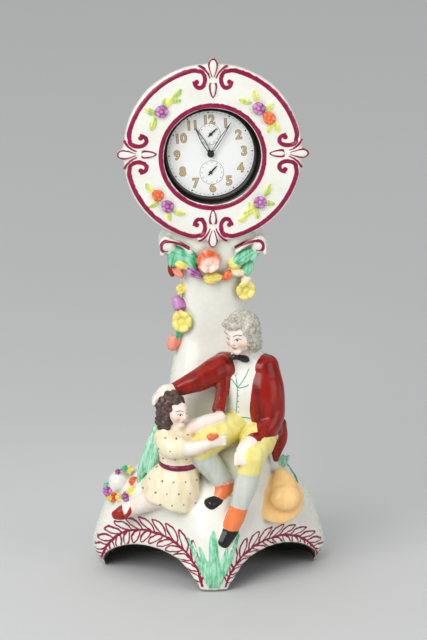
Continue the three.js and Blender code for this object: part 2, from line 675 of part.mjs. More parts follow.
const stand = cutPocket(cutBase(joined([
  makeMound(), makePillar(), makePlate(), makePlateRelief(), makeSprigs(), makeGarland(), makeLaurel(),
  placed(makeMan(), frameAt(manSeat, [0, 0, 0], manHeight / drawnAt.man)),
  placed(makeGirl(), frameAt(girlWaist, [0, 0, 0], girlHeight / drawnAt.girl)),
  makeBonnet(), makeHat(), makeLeaves(),
])));

// Watch

const watchDrop = (pocketClearance - gap) * Math.SQRT1_2;
const watchX = pocketX - watchDrop;
const watchZ = pocketZ - watchDrop;
const watchFront = lipBack + gap;
const crystalFront = watchFront + crystalInset;
const handLayer = (layer) => crystalFront + crystalThickness + gap + layer * (handThickness + gap);
const dialFront = handLayer(3);
const dialBack = dialFront + dialThickness;

function turned(profile, sides = 36) {
  const geometry = new THREE.LatheGeometry(profile.map(([r, y]) => new THREE.Vector2(r, y)), sides);
  return geometry.translate(watchX, 0, watchZ);
}

function makeCase() {
  const seat = dialBack + gap;
  const rimInner = dialRadius + gap;
  const back = watchFront + watchThickness;
  const body = turned([
    [0, seat], [rimInner, seat], [rimInner, watchFront + 0.3], [rimInner + 0.6, watchFront],
    [watchRadius - 1.6, watchFront + 0.8], [watchRadius, watchFront + 4], [watchRadius - 0.6, back - 4],
    [watchRadius - 5, back - 0.8], [0, back],
  ]);
  const stemY = (notchFront + watchFront + watchThickness) / 2;
  const top = watchZ + watchRadius;
  const stem = new THREE.CylinderGeometry(crownRadius * 0.6, crownRadius * 0.6, 4, 16)
    .rotateX(Math.PI / 2).translate(watchX, stemY, top);
  const crown = new THREE.CylinderGeometry(crownRadius, crownRadius, crownLength, 20)
    .rotateX(Math.PI / 2).translate(watchX, stemY, top + 1 + crownLength / 2);
  return joined([body]).add(joined([stem, crown]));
}

function makeDial() {
  const disc = turned([[0, dialFront], [dialRadius, dialFront], [dialRadius, dialBack], [0, dialBack]]);
  const arbor = drum(watchX, watchZ, arborRadius, handLayer(0) + handThickness + gap, dialFront + 0.2, 8);
  return joined([disc, arbor]);
}

function makeCrystal() {
  const back = crystalFront + crystalThickness;
  return joined([turned([
    [0, crystalFront - 0.3], [dialRadius * 0.8, crystalFront - 0.1], [dialRadius, crystalFront + 0.3],
    [dialRadius, back], [0, back],
  ])]);
}

// A flat hand that points straight up from its own axis. A slotted hand is open along its blade, and a bored
// one turns on the arbor.
function makeHand({ x, z, layer, length, blade, tail = 0, hub, slotted = false, bored = false }) {
  const y0 = handLayer(layer);
  const y1 = y0 + handThickness;
  const right = [[blade * 0.35, length * 0.88], [blade, length * 0.45], [blade * 0.6, 0]];
  if (tail) right.push([blade * 0.6, -tail]);
  const mirrored = (points) => [...points].reverse().map(([px, pz]) => [-px, pz]);
  let hand = joined([slab([[0, length], ...right, ...mirrored(right)], y0, y1), drum(0, 0, hub, y0, y1, 10)]);
  if (slotted) {
    const inner = blade - handBladeWall;
    const edge = [[inner * 0.9, length * 0.5], [inner * 0.55, hub + 0.6]];
    hand = hand.subtract(joined([slab([[0, length * 0.85], ...edge, ...mirrored(edge)], y0 - 1, y1 + 1)]));
  }
  if (bored) hand = hand.subtract(joined([drum(0, 0, arborRadius + gap, y0 - 1, y1 + 1, 8)]));
  return { geometry: geometryOf(hand), position: [x, 0, z] };
}

// Scene

function materialOf(color, roughness, metalness = 0, extra = {}) {
  return new THREE.MeshStandardMaterial({ color, roughness, metalness, ...extra });
}

const glaze = materialOf(0xeeece4, 0.15);
const darkSteel = materialOf(0x3a3a38, 0.35, 0.8);
const enamel = materialOf(0xf2f2ee, 0.2);
const blackSteel = materialOf(0x1c1c1e, 0.3, 0.6);
const glass = materialOf(0xffffff, 0.02, 0, { transparent: true, opacity: 0.15 });

const group = new THREE.Group();

function addPiece(name, geometry, material, position = [0, 0, 0], angle = 0) {
  const mesh = new THREE.Mesh(geometry, material);
  mesh.name = name;
  mesh.position.set(...position);
  mesh.rotation.y = angle;
  group.add(mesh);
}

// A hand turned clockwise past the dial's twelve.
function addHand(name, options, degrees) {
  const { geometry, position } = makeHand(options);
  addPiece(name, geometry, blackSteel, position, THREE.MathUtils.degToRad(degrees + dialTilt));
}

addPiece('watch_stand', geometryOf(stand), glaze);
addPiece('watch_case', geometryOf(makeCase()), darkSteel);
addPiece('watch_dial', geometryOf(makeDial()), enamel);
addPiece('watch_crystal', geometryOf(makeCrystal()), glass);

const centre = { x: watchX, z: watchZ, hub: hubRadius, slotted: true };
addHand('minute_hand', { ...centre, layer: 0, length: minuteHandLength, blade: 0.85 }, minuteHandTurn);
addHand('hour_hand', { ...centre, layer: 1, length: hourHandLength, blade: 1.2, bored: true }, hourHandTurn);

const small = { x: watchX, layer: 2, tail: 2, blade: 0.4, hub: 0.9 };
const alarmZ = watchZ + alarmDialRise;
const secondsZ = watchZ - secondsDialDrop;
addHand('alarm_hand', { ...small, z: alarmZ, length: alarmHandLength }, alarmHandTurn);
addHand('seconds_hand', { ...small, z: secondsZ, length: secondsHandLength }, secondsHandTurn);

export default group;
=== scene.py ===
import math

import bpy
import numpy as np
import openvdb
from mathutils import Euler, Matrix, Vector


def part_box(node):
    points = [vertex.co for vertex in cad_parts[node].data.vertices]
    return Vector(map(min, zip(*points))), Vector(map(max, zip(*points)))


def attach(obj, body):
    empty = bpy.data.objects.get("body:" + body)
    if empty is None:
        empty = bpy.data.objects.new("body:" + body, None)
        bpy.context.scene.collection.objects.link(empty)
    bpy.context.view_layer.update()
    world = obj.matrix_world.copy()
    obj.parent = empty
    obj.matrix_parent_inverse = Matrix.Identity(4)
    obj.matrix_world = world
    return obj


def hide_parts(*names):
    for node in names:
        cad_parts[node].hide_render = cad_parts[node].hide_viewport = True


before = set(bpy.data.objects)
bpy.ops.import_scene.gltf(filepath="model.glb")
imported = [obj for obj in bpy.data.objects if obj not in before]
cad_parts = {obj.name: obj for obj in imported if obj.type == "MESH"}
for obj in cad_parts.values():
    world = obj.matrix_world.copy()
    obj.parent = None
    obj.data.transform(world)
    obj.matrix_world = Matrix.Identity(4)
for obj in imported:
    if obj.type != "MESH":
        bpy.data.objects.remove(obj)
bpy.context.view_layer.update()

# The base is a hollow rocky mound of pale earthenware, made in a mould. It rests on three feet, one in front
# and one at each side, with an arch between each two. Its outline on the floor turns into an oval towards the
# top, where the figures sit.
BASE_HALF_WIDTH = 63.8
BASE_HALF_DEPTH = 40
MOUND_HEIGHT = 100
BASE_WALL = 4.5
ARCH_HEIGHT = 18
ARCH_HALF_SPAN = 34.2
ARCH_TURN = 41
ARCH_AT = (BASE_HALF_WIDTH * 0.545, BASE_HALF_DEPTH * -0.385)
BACK_ARCH = (22, 12)
MM = 0.001
# The forms are closed bodies of points and faces in millimetres, sorted by the colour that they are painted.
forms = {}


def full_turn(steps):
    """Angles evenly spaced round a circle, in radians."""
    return np.arange(steps) / steps * 2 * math.pi


def lofted(rings):
    """A closed body through rings of points, with a middle point over each end."""
    rings = np.asarray(rings, float)
    levels, around = rings.shape[:2]
    points = np.vstack([rings.reshape(-1, 3), rings[0].mean(0), rings[-1].mean(0)])
    index = np.arange(levels * around).reshape(levels, around)
    after = np.roll(index, -1, axis=1)
    quads = np.stack([index[:-1], after[:-1], after[1:], index[1:]], axis=-1).reshape(-1, 4)
    first = np.stack([np.full(around, len(points) - 2), after[0], index[0]], axis=-1)
    last = np.stack([np.full(around, len(points) - 1), index[-1], after[-1]], axis=-1)
    return points, quads, np.vstack([first, last])


def smooth_through(rows, between, closed=False):
    """Rows of numbers on a smooth curve through the given rows, with some steps between each two."""
    rows = np.asarray(rows, float)
    if closed:
        padded = np.vstack([rows[-1], rows, rows[0], rows[1]])
    else:
        padded = np.vstack([2 * rows[0] - rows[1], rows, 2 * rows[-1] - rows[-2]])
    a, b, c, d = (padded[i:len(padded) - 3 + i, None] for i in range(4))
    t = (np.arange(between) / between)[None, :, None]
    fine = b + (c - a) * t / 2 + (a - 2.5 * b + 2 * c - d / 2) * t**2 + (1.5 * (b - c) + (d - a) / 2) * t**3
    fine = fine.reshape(-1, rows.shape[1])
    return fine if closed else np.vstack([fine, rows[-1]])


def placed(form, at=(0, 0, 0), turn=(0, 0, 0)):
    """The form turned by degrees about X, then Y, then Z, and moved."""
    points, quads, triangles = form
    matrix = np.array(Euler(np.radians(turn), 'XYZ').to_matrix())
    return points @ matrix.T + np.array(at, float), quads, triangles


def egg(at, half, turn=(0, 0, 0), around=28, levels=16):
    """An egg with its own three half sizes."""
    up = np.radians(np.linspace(-86, 86, levels))[:, None]
    turns = full_turn(around)
    reach = np.cos(up)
    rings = np.stack(np.broadcast_arrays(reach * np.cos(turns), reach * np.sin(turns), np.sin(up)), -1)
    return placed(lofted(rings * np.array(half, float)), at, turn)


def clay(paint, *pieces):
    """Adds forms to those that are painted alike."""
    forms.setdefault(paint, []).extend(pieces)


half_outline = [
    (0, -1), (0.14, -0.95), (0.31, -0.67), (0.59, -0.27), (0.81, 0), (0.95, 0.22),
    (1, 0.5), (0.98, 0.81), (0.86, 0.97), (0.45, 1), (0, 1),
]
foot_outline = smooth_through(half_outline + [(-x, y) for x, y in half_outline[-2:0:-1]], 8, closed=True)

# Share of the mound's height; its half width, front and back; how round it is; its lean to the right.
mound_levels = np.array([
    (0, 0.915, -0.95, 0.94, 0, 0),
    (0.04, 0.955, -0.975, 0.97, 0, 0),
    (0.11, 1, -1, 1, 0, 0),
    (0.28, 0.94, -0.93, 0.99, 0.12, 0),
    (0.36, 0.9, -0.86, 0.97, 0.25, 0),
    (0.44, 0.835, -0.76, 0.94, 0.45, 0),
    (0.53, 0.71, -0.6, 0.92, 0.65, 0.02),
    (0.6, 0.61, -0.42, 0.9, 0.8, 0.045),
    (0.72, 0.48, -0.2, 0.88, 1, 0.04),
    (0.86, 0.4, -0.02, 0.86, 1, 0.03),
    (1, 0.37, 0.1, 0.84, 1, 0.03),
])


def mound_ring(level, wall=0, rise=0):
    """The mound's outline at one level, moved in by a wall."""
    height, width, front, back, roundness, lean = level
    oval = foot_outline / np.linalg.norm(foot_outline, axis=1, keepdims=True)
    plan = foot_outline + (oval - foot_outline) * roundness
    y0, y1 = front * BASE_HALF_DEPTH + wall, back * BASE_HALF_DEPTH - wall
    x = lean * BASE_HALF_WIDTH + plan[:, 0] * (width * BASE_HALF_WIDTH - wall)
    y = (y0 + y1) / 2 + plan[:, 1] * (y1 - y0) / 2
    return np.stack([x, y, np.full(len(x), height * MOUND_HEIGHT + rise)], axis=-1)


def mound_front(x, z):
    """How far forward the mound's surface lies at a place across and up."""
    level = [np.interp(z / MOUND_HEIGHT, mound_levels[:, 0], column) for column in mound_levels.T]
    a = mound_ring(level)
    b = np.roll(a, -1, axis=0)
    x = np.clip(x, a[:, 0].min() + 0.5, a[:, 0].max() - 0.5)
    crossing = (a[:, 0] - x) * (b[:, 0] - x) <= 0
    part = (x - a[crossing, 0]) / (b[crossing, 0] - a[crossing, 0] + 1e-9)
    return (a[crossing, 1] + (b[crossing, 1] - a[crossing, 1]) * part).min()


def half_oval(half_span, height, y0, y1):
    """A half oval that stands on the floor, carried from y0 to y1."""
    turn = np.linspace(math.pi, 0, 32)
    x = np.concatenate([[-half_span], half_span * np.cos(turn), [half_span]])
    z = np.concatenate([[-3], height * np.sin(turn), [-3]])
    return lofted([np.stack([x, np.full(len(x), y), z], axis=-1) for y in (y0, y1)])


clay('white', lofted([mound_ring(level) for level in smooth_through(mound_levels, 4)]))
clay('white', egg((9, -2, 48), (26, 20, 35)))
hollow_levels = smooth_through(mound_levels[:7], 4)
hollow = [mound_ring(hollow_levels[0], BASE_WALL, -4)]
hollow += [mound_ring(level, BASE_WALL, -BASE_WALL) for level in hollow_levels[4:]]
cuts = [lofted(hollow)]
for side in (-1, 1):
    opening = half_oval(ARCH_HALF_SPAN, ARCH_HEIGHT, BASE_HALF_DEPTH * -0.45, BASE_HALF_DEPTH * 0.45)
    cuts.append(placed(opening, (side * ARCH_AT[0], ARCH_AT[1], 0), (0, 0, side * ARCH_TURN)))
cuts.append(half_oval(*BACK_ARCH, BASE_HALF_DEPTH / 2, BASE_HALF_DEPTH + 4))
BASE_CUTS = len(cuts)

# The pillar is a rounded post of the same clay that flares at its foot, where it grows out of the mound. Its
# capital spreads into two volutes at the front corners, and carries the plate.
PILLAR = (1.8, 21)
PILLAR_HALF = (17.5, 13)
CAPITAL_FOOT = 158
CAPITAL_HEIGHT = 28
CAPITAL_HALF_WIDTH = 26.6
pillar_front = PILLAR[1] - PILLAR_HALF[1]
pillar_back = PILLAR[1] + PILLAR_HALF[1]


def limb(stations, across=(1, 0, 0), around=24, between=5, ends=0.8):
    """An oval section carried through stations (x, y, z, half width, half depth), with domed ends."""
    fine = smooth_through(stations, between)
    route, half = fine[:, :3], fine[:, 3:]
    along = np.gradient(route, axis=0)
    dome = np.radians([82, 62, 42, 21])[:, None]

    def cap(end, sign):
        way = along[end] / np.linalg.norm(along[end])
        return route[end] + sign * way * ends * half[end].min() * np.sin(dome), half[end] * np.cos(dome)

    (start_at, start_half), (stop_at, stop_half) = cap(0, -1), cap(-1, 1)
    route = np.vstack([start_at, route, stop_at[::-1]])
    half = np.vstack([start_half, half, stop_half[::-1]])
    along = np.vstack([along[:1]] * len(dome) + [along] + [along[-1:]] * len(dome))
    along = along / np.linalg.norm(along, axis=1, keepdims=True)
    side = np.array(across, float) - along * (along @ np.array(across, float))[:, None]
    side /= np.linalg.norm(side, axis=1, keepdims=True)
    out = np.cross(along, side)
    turn = full_turn(around)
    wide = side[:, None] * (half[:, :1] * np.cos(turn))[..., None]
    deep = out[:, None] * (half[:, 1:] * np.sin(turn))[..., None]
    return lofted(route[:, None] + wide + deep)


def post_ring(z, half_width, y0, y1, around=72):
    """A square with well rounded corners."""
    turn = full_turn(around)
    reach = (np.abs(np.cos(turn)) ** 3 + np.abs(np.sin(turn)) ** 3) ** (-1 / 3)
    x = PILLAR[0] + half_width * reach * np.cos(turn)
    y = (y0 + y1) / 2 + (y1 - y0) / 2 * reach * np.sin(turn)
    return np.stack([x, y, np.full(around, z)], axis=-1)


post_levels = smooth_through([
    (MOUND_HEIGHT * 0.3, PILLAR_HALF[0] * 1.3, pillar_front - 2, pillar_back),
    (MOUND_HEIGHT * 0.7, PILLAR_HALF[0] * 1.45, pillar_front - 6, pillar_back + 1.6),
    (MOUND_HEIGHT, PILLAR_HALF[0] * 1.33, pillar_front - 9, pillar_back + 1),
    (MOUND_HEIGHT * 1.15, PILLAR_HALF[0] * 1.2, pillar_front - 5, pillar_back),
    (MOUND_HEIGHT * 1.3, PILLAR_HALF[0], pillar_front, pillar_back),
    (CAPITAL_FOOT, PILLAR_HALF[0], pillar_front, pillar_back),
    (CAPITAL_FOOT + 8.4, PILLAR_HALF[0] * 1.1, pillar_front - 1, pillar_back),
    (CAPITAL_FOOT + 15.4, 22, pillar_front - 3, pillar_back),
    (CAPITAL_FOOT + 22.4, CAPITAL_HALF_WIDTH - 1, pillar_front - 4, pillar_back - 1),
    (CAPITAL_FOOT + CAPITAL_HEIGHT, CAPITAL_HALF_WIDTH - 2, pillar_front - 4, pillar_back - 3),
], 5)
clay('white', lofted([post_ring(*level) for level in post_levels]))
for side in (-1, 1):
    ear_x = PILLAR[0] + side * (CAPITAL_HALF_WIDTH - 2)
    ear_z = CAPITAL_FOOT + CAPITAL_HEIGHT * 0.8
    clay('white', limb([
        (ear_x, pillar_front - 2.5, ear_z, 4.6, 4.6),
        (ear_x, pillar_back - 6, ear_z, 4.2, 4.2),
    ]))
    ridge = [(3, -4.6), (2.3, 0.6), (-1.5, 2.7), (-7, 0.6), (-12.5, -3.4)]
    clay('white', limb([
        (ear_x + side * x, pillar_front - 5.6, ear_z + z, 1.2, 1) for x, z in ridge
    ], between=6, around=12))

# The plate is a thick round disc with a window. Behind it a collar makes a pocket, open at the back, with a
# notch for the watch's crown. Four fleurs stand out past its rim, with a C-scroll between each two.
PLATE = (1.4, 230.3)
PLATE_RADIUS = 47.9
PLATE_FRONT = 1
PLATE_THICKNESS = 9
PLATE_FOOT = 180
WINDOW = (1.2, 228.6)
WINDOW_RADIUS = 26
POCKET = (1.2, 229.8)
POCKET_RADIUS = 28.5
LIP_BACK = 4.2
POCKET_BACK = 23.9
plate_back = PLATE_FRONT + PLATE_THICKNESS
FORWARD = (0, -1, 0)


def unit(vector):
    """The vector with a length of 1."""
    vector = np.array(vector, float)
    return vector / np.linalg.norm(vector)


def petal(at, along, facing, half_length, half_width, thickness, point=0.0):
    """A flattened egg that lies along one way and faces another, drawn out to a point at its ends."""
    facing = unit(facing)
    along = np.array(along, float)
    along = unit(along - facing * (along @ facing))
    basis = np.array([along * half_length, np.cross(facing, along) * half_width, facing * thickness])
    points, quads, triangles = egg((0, 0, 0), (1, 1, 1), (0, 0, 0), 20, 11)
    narrowed = np.sqrt(1 - point * points[:, 0] ** 2 * 0.98)
    points = points * np.stack([np.ones(len(points)), narrowed, narrowed], -1)
    return points @ basis + np.array(at, float), quads, triangles


def plate_ring(scale, y, around=160):
    """The plate's rim, which swells a little between the four fleurs."""
    turn = full_turn(around)
    reach = PLATE_RADIUS * (1 - 0.008 * np.cos(4 * turn)) * scale
    x, z = PLATE[0] + reach * np.cos(turn), PLATE[1] + reach * np.sin(turn)
    return np.stack([x, np.full(around, y), z], axis=-1)


def drum(centre, radius, y0, y1, around=120):
    """A round plug about an axis that runs from front to back."""
    turn = full_turn(around)
    x, z = centre[0] + radius * np.cos(turn), centre[1] + radius * np.sin(turn)
    return lofted([np.stack([x, np.full(around, y), z], axis=-1) for y in (y0, y1)])


clay('white', lofted([
    plate_ring(0.955, PLATE_FRONT), plate_ring(0.985, PLATE_FRONT + 0.6), plate_ring(1, PLATE_FRONT + 2.2),
    plate_ring(1, plate_back - 2.2), plate_ring(0.98, plate_back - 0.8), plate_ring(0.94, plate_back),
]))
clay('white', drum(POCKET, POCKET_RADIUS + 4, PLATE_FRONT + 3, POCKET_BACK))
clay('white', limb([
    (PILLAR[0], PILLAR[1] - 3, CAPITAL_FOOT + 19.6, 17, 9),
    (PILLAR[0], PILLAR[1] - 7, POCKET[1] - POCKET_RADIUS, 15, 7),
]))
for quarter in range(4):
    way = np.array((math.cos(quarter * math.pi / 2), 0, math.sin(quarter * math.pi / 2)))
    beside = np.array((-way[2], 0, way[0]))
    hub = np.array((PLATE[0], PLATE_FRONT, PLATE[1]))
    clay('white', limb([
        (*(hub + way * 43 + (0, 3, 0)), 4.6, 3), (*(hub + way * 48 + (0, 2.6, 0)), 2.8, 2.4),
        (*(hub + way * 49.6 + (0, 2.4, 0)), 1.7, 2),
    ], beside))
    clay('white', petal(hub + way * 45.4, way, FORWARD, 5.7, 2.7, 1.3))
    clay('white', petal(hub + way * 34.6, way, FORWARD, 4.6, 2, 0.9))
    for side in (-1, 1):
        at = hub + way * 44.4 + beside * side * 4.8
        clay('white', petal(at, way * 7 + beside * side * 6.1, FORWARD, 4.6, 1.1, 0.9))
cuts.append(drum(WINDOW, WINDOW_RADIUS, PLATE_FRONT - 4, POCKET_BACK))
cuts.append(drum(POCKET, POCKET_RADIUS, LIP_BACK, POCKET_BACK + 3))
notch = [(-4.5, 0), (4.5, 0), (4.5, POCKET_RADIUS + 6), (-4.5, POCKET_RADIUS + 6)]
cuts.append(lofted([
    [(POCKET[0] + x, y, POCKET[1] + z) for x, z in notch] for y in (plate_back + 0.5, POCKET_BACK + 3)
]))


# The plate's border, the volutes and the laurels over the arches are both raised and painted, so their lines
# are written once, for numbers and for values in a shader.
class Wire:
    """A value in a shader, with arithmetic that adds Math nodes."""

    def __init__(self, socket):
        self.socket = socket

    def node(self, kind, settings=(), inputs=(), output=0):
        """Adds a node: its settings first, then the values or links of its sockets."""
        tree = self.socket.id_data
        made = tree.nodes.new(kind)
        for name, value in dict(settings).items():
            if name == 'stops':
                while len(made.color_ramp.elements) < len(value):
                    made.color_ramp.elements.new(1)
                for element, (place, colour) in zip(made.color_ramp.elements, value):
                    element.position = place
                    element.color = colour
            else:
                setattr(made, name, value)
        for name, value in dict(inputs).items():
            if isinstance(value, Wire):
                tree.links.new(made.inputs[name], value.socket)
            else:
                made.inputs[name].default_value = value
        return Wire(made.outputs[output])

    def maths(self, operation, *values):
        """Adds a Math node."""
        return self.node('ShaderNodeMath', {'operation': operation}, enumerate(values))

    def __add__(self, other):
        return self.maths('ADD', self, other)

    def __radd__(self, other):
        return self.maths('ADD', other, self)

    def __sub__(self, other):
        return self.maths('SUBTRACT', self, other)

    def __rsub__(self, other):
        return self.maths('SUBTRACT', other, self)

    def __mul__(self, other):
        return self.maths('MULTIPLY', self, other)

    def __rmul__(self, other):
        return self.maths('MULTIPLY', other, self)

    def __truediv__(self, other):
        return self.maths('DIVIDE', self, other)

    def __mod__(self, other):
        return self.maths('FLOORED_MODULO', self, other)

    def __neg__(self):
        return self.maths('MULTIPLY', self, -1)

    def __abs__(self):
        return self.maths('ABSOLUTE', self)


def either(operation, plain):
    """A function of numbers or shader values alike, so that a pattern is both raised and painted from it."""
    def apply(*values):
        wires = [value for value in values if isinstance(value, Wire)]
        return wires[0].maths(operation, *values) if wires else plain(*values)
    return apply


root = either('SQRT', np.sqrt)
sine = either('SINE', np.sin)
angle_of = either('ARCTAN2', np.arctan2)
floor = either('FLOOR', np.floor)
least = either('MINIMUM', np.minimum)
most = either('MAXIMUM', np.maximum)
power = either('POWER', np.power)


def share(value):
    """The value held between 0 and 1."""
    return least(most(value, 0), 1)


def span(x, z, centre=(0, 0), stretch=(1, 1)):
    """Distance from a centre, with each direction divided by its own stretch."""
    across, up = (x - centre[0]) / stretch[0], (z - centre[1]) / stretch[1]
    return root(across * across + up * up)


def outside_oval(x, z, centre, half, shrink=0.0):
    """Distance outside an oval, true close to its edge; it may be shrunk by a share of its size."""
    across, up = (x - centre[0]) / half[0], (z - centre[1]) / half[1]
    size = root(across * across + up * up)
    slope = span(across, up, (0, 0), half)
    return (size + shrink - 1) * size / (slope + 0.001)


def stroke_to(x, z, start, stop, bow=0.0):
    """Distance from a brush stroke between two places, bowed sideways in its middle."""
    reach = math.dist(start, stop)
    way = ((stop[0] - start[0]) / reach, (stop[1] - start[1]) / reach)
    along = share(((x - start[0]) * way[0] + (z - start[1]) * way[1]) / reach)
    side = along * (1 - along) * 4 * bow
    across = x - start[0] - along * (reach * way[0]) + side * way[1]
    up = z - start[1] - along * (reach * way[1]) - side * way[0]
    return root(across * across + up * up)


def plate_lines(x, z):
    """How far a place on the plate's face lies outside the raised and painted lines, in millimetres."""
    across, up = abs(x - PLATE[0]), abs(z - PLATE[1])
    along, beside = most(across, up), least(across, up)
    turn = angle_of(beside, along)
    bend = share((0.262 - turn) / 0.1)
    arc = abs(span(along, beside) - 45.8 + 1.35 * bend * bend)
    lines = most(arc - 1.25, (0.163 - turn) * 45)
    curl = (39.6, 7.45)
    winding = angle_of(curl[1] - beside, along - curl[0]) % (2 * math.pi)
    loop = abs(outside_oval(along, beside, curl, (4.6, 3.2), share((winding - 2.8) / 2) * 0.3))
    lines = least(lines, most(loop - 1.15, (winding - 4.45) * 3))
    lines = least(lines, span(along, beside, (38.3, 8.7)) - 1.35)
    stroke = stroke_to(along, beside, (40.6, 1.7), (47.2, 7.9), -1.0)
    lines = least(lines, stroke - 0.4 - 0.32 * share((along - 40.6) / 6))
    taper = 0.75 + 0.45 * (along - 45.4) / 5.1
    outer = abs(outside_oval(along, beside / taper, (45.4, 0), (5.1, 2.55)))
    lines = least(lines, most(outer - 0.56, 41 - along))
    taper = 0.9 + 0.3 * (along - 34.4) / 4
    inner = abs(outside_oval(along, beside / taper, (34.4, 0), (4.1, 1.8)))
    lines = least(lines, most(inner - 0.54, along - 37.9))
    ring = abs(span(x, z, WINDOW) - WINDOW_RADIUS - 1.5)
    return least(lines, ring - 1.25)


def volute_lines(x, z):
    """The line along the capital's upper edge, which hooks round the volute at each corner."""
    across = abs(x - 1.1)
    line = stroke_to(across, z, (12.6, 179), (23.6, 182.9), 0.7)
    hook = most(abs(span(across, z, (24.4, 179.8), (2.9, 3.1)) - 1) * 3 - 0.85, 23.6 - across)
    hook = most(hook, 177 - z)
    return least(line - 0.75, hook)


LAUREL_ACROSS = 33
LAUREL_HALF_SPAN = 27
LAUREL_RISE = 22.6
LAUREL_TOP = 46
LEAF_SPACING = 5.8


def laurel_lines(x, z):
    """How far outside the outlines of the laurels over the front arches, and how far outside a leaf."""
    across = abs(x) - LAUREL_ACROSS
    left = share(-x)
    rise = LAUREL_RISE + 4.4 * left
    up = z / rise
    turn = angle_of(up, across / -LAUREL_HALF_SPAN)
    along, off = turn * 26, (span(across / LAUREL_HALF_SPAN, up) - 1) * 25
    out = abs(off)
    outer = share(off * 4)
    lean = 1.2 - 0.12 * outer
    sloped = root(lean * lean + 1)
    lane = along - out * lean + outer * 1.6
    beside = lane - LEAF_SPACING * floor(lane / LEAF_SPACING + 0.5)
    aside = beside / sloped
    grown = (beside * lean + out * sloped * sloped) / sloped
    tip = (11.6 - 1.4 * turn) * share(turn * 1.5 + 0.3)
    width = (1.72 - 0.08 * turn) * power(most(sine(share((grown - 0.4) / tip) * 3.0 + 0.14), 0.001), 0.75)
    inside = most(abs(aside) - width, grown - tip)
    ends = most(0.2 - turn, turn - 3.0) * 26
    leaves = most(abs(inside) - 0.46, ends)
    stem = most(out - 0.64, most(0.1 - turn, turn - 3.0) * 26)
    return least(leaves, stem), most(inside, ends)


# Four small sprigs lie on the plate's face, and a garland hangs across the capital and down the pillar. Each
# petal and leaf is pressed on by hand: blossoms have a raised heart and a ring of petals.
blooms = []
ribs = []


def blossom(at, facing, radius, petals, paint, cup=0.35, thickness=0.22, turned=0.0, heart=0.27):
    """A round flower: petals that overlap around a heart, cupped towards the front."""
    facing = unit(facing)
    side = unit(np.cross((0, 0, 1), facing))
    up = np.cross(facing, side)
    at = np.array(at, float)
    for i in range(petals):
        turn = (i / petals + turned) * 2 * math.pi
        way = side * math.cos(turn) + up * math.sin(turn)
        middle = at + way * radius * 0.52 + facing * (0.18 + 0.08 * (i % 2)) * radius
        half_width = radius * 0.62 * min(1.15, 3.4 / petals + 0.42)
        clay(paint, petal(
            middle, way + facing * cup, facing - way * cup, radius * 0.5, half_width, radius * thickness,
        ))
    clay(paint, egg(at + facing * radius * (0.07 + heart), (radius * heart,) * 3))
    clay(paint, petal(at, side, facing, radius * 0.7, radius * 0.7, radius * 0.28))
    blooms.append((at, facing, side, up, radius, petals, turned))


def leaf(at, along, facing, half_length, half_width, thickness=0.9, paint='leaf'):
    """A pointed leaf, whose midrib and veins are cut in later."""
    clay(paint, petal(at, along, facing, half_length, half_width, thickness, 0.75))
    facing = unit(facing)
    along = np.array(along, float)
    along = unit(along - facing * (along @ facing))
    ribs.append((np.array(at, float), along, np.cross(facing, along), half_length, half_width))


def tulip(at, up, facing, length, paint):
    """A closed flower of three long petals."""
    facing = unit(facing)
    side = unit(np.cross(up, facing))
    for aside, forward, width in ((-0.55, 0, 0.24), (0.55, 0, 0.24), (0, 0.12, 0.3)):
        middle = np.array(at, float) + side * aside * length * 0.36 + facing * forward * length
        along = np.array(up, float) + side * aside * 0.35
        clay(paint, petal(middle, along, facing + side * aside, length * 0.5, length * width, length * 0.2))


sprigs = [
    ('lilac', -25.8, 253.1, 3.6), ('lilac', 25.5, 254.4, 3.6), ('orange', 31, 249.2, 3.5),
    ('orange', -27.9, 208.4, 3.3), ('lilac', -22.8, 202.4, 3.6), ('lilac', 26.4, 204.1, 3.6),
]
for paint, x, z, radius in sprigs:
    blossom((x, PLATE_FRONT - 0.2, z), FORWARD, radius, 5, paint, thickness=0.24)
# Place across and up, way that the leaf points, half length and half width.
sprig_leaves = [
    (-21.6, 258.3, 1, 1, 3.4, 1.7), (-17.4, 262.6, 1, 1.1, 2.8, 1.5),
    (-18.4, 258.9, 1, -0.1, 2.8, 1.3), (-31.6, 253, -1, 0.5, 3.2, 1.5),
    (-30.2, 246.4, -0.35, -1, 3.4, 1.7), (-24.4, 257.8, 0.4, 1, 2.4, 1.2),
    (18.4, 258.2, -1, 0.3, 3.2, 1.4), (24, 260.8, -0.4, 1, 3.0, 1.5),
    (31.3, 255, 0.9, 0.7, 2.6, 1.4), (35, 244.6, 0.5, -1, 3.2, 1.5),
    (31.2, 243.9, -0.2, -1, 2.4, 1.1), (-32.2, 212, -0.7, 0.9, 3.0, 1.5),
    (-29.6, 203.6, -0.9, -0.6, 2.8, 1.3), (-16.6, 198.6, 1, -0.25, 3.2, 1.4),
    (-22.2, 196.9, 0.3, -1, 2.6, 1.3), (20.6, 199.2, -0.9, -0.5, 3.2, 1.8),
    (22.6, 202.2, -0.6, 0.4, 2.4, 1.5), (30.7, 210.6, 0.5, 1, 3.2, 1.5),
    (31.4, 203.4, 1, -0.2, 2.8, 1.3), (17.2, 195, -1, -0.5, 2.6, 1.3),
    (24.6, 198, 0.3, -1, 2.8, 1.4),
]
for x, z, along_x, along_z, half_length, half_width in sprig_leaves:
    at = (x, PLATE_FRONT - 0.2, z)
    leaf(at, (along_x, 0, along_z), FORWARD, half_length * 1.22, half_width, 1, 'sprig')

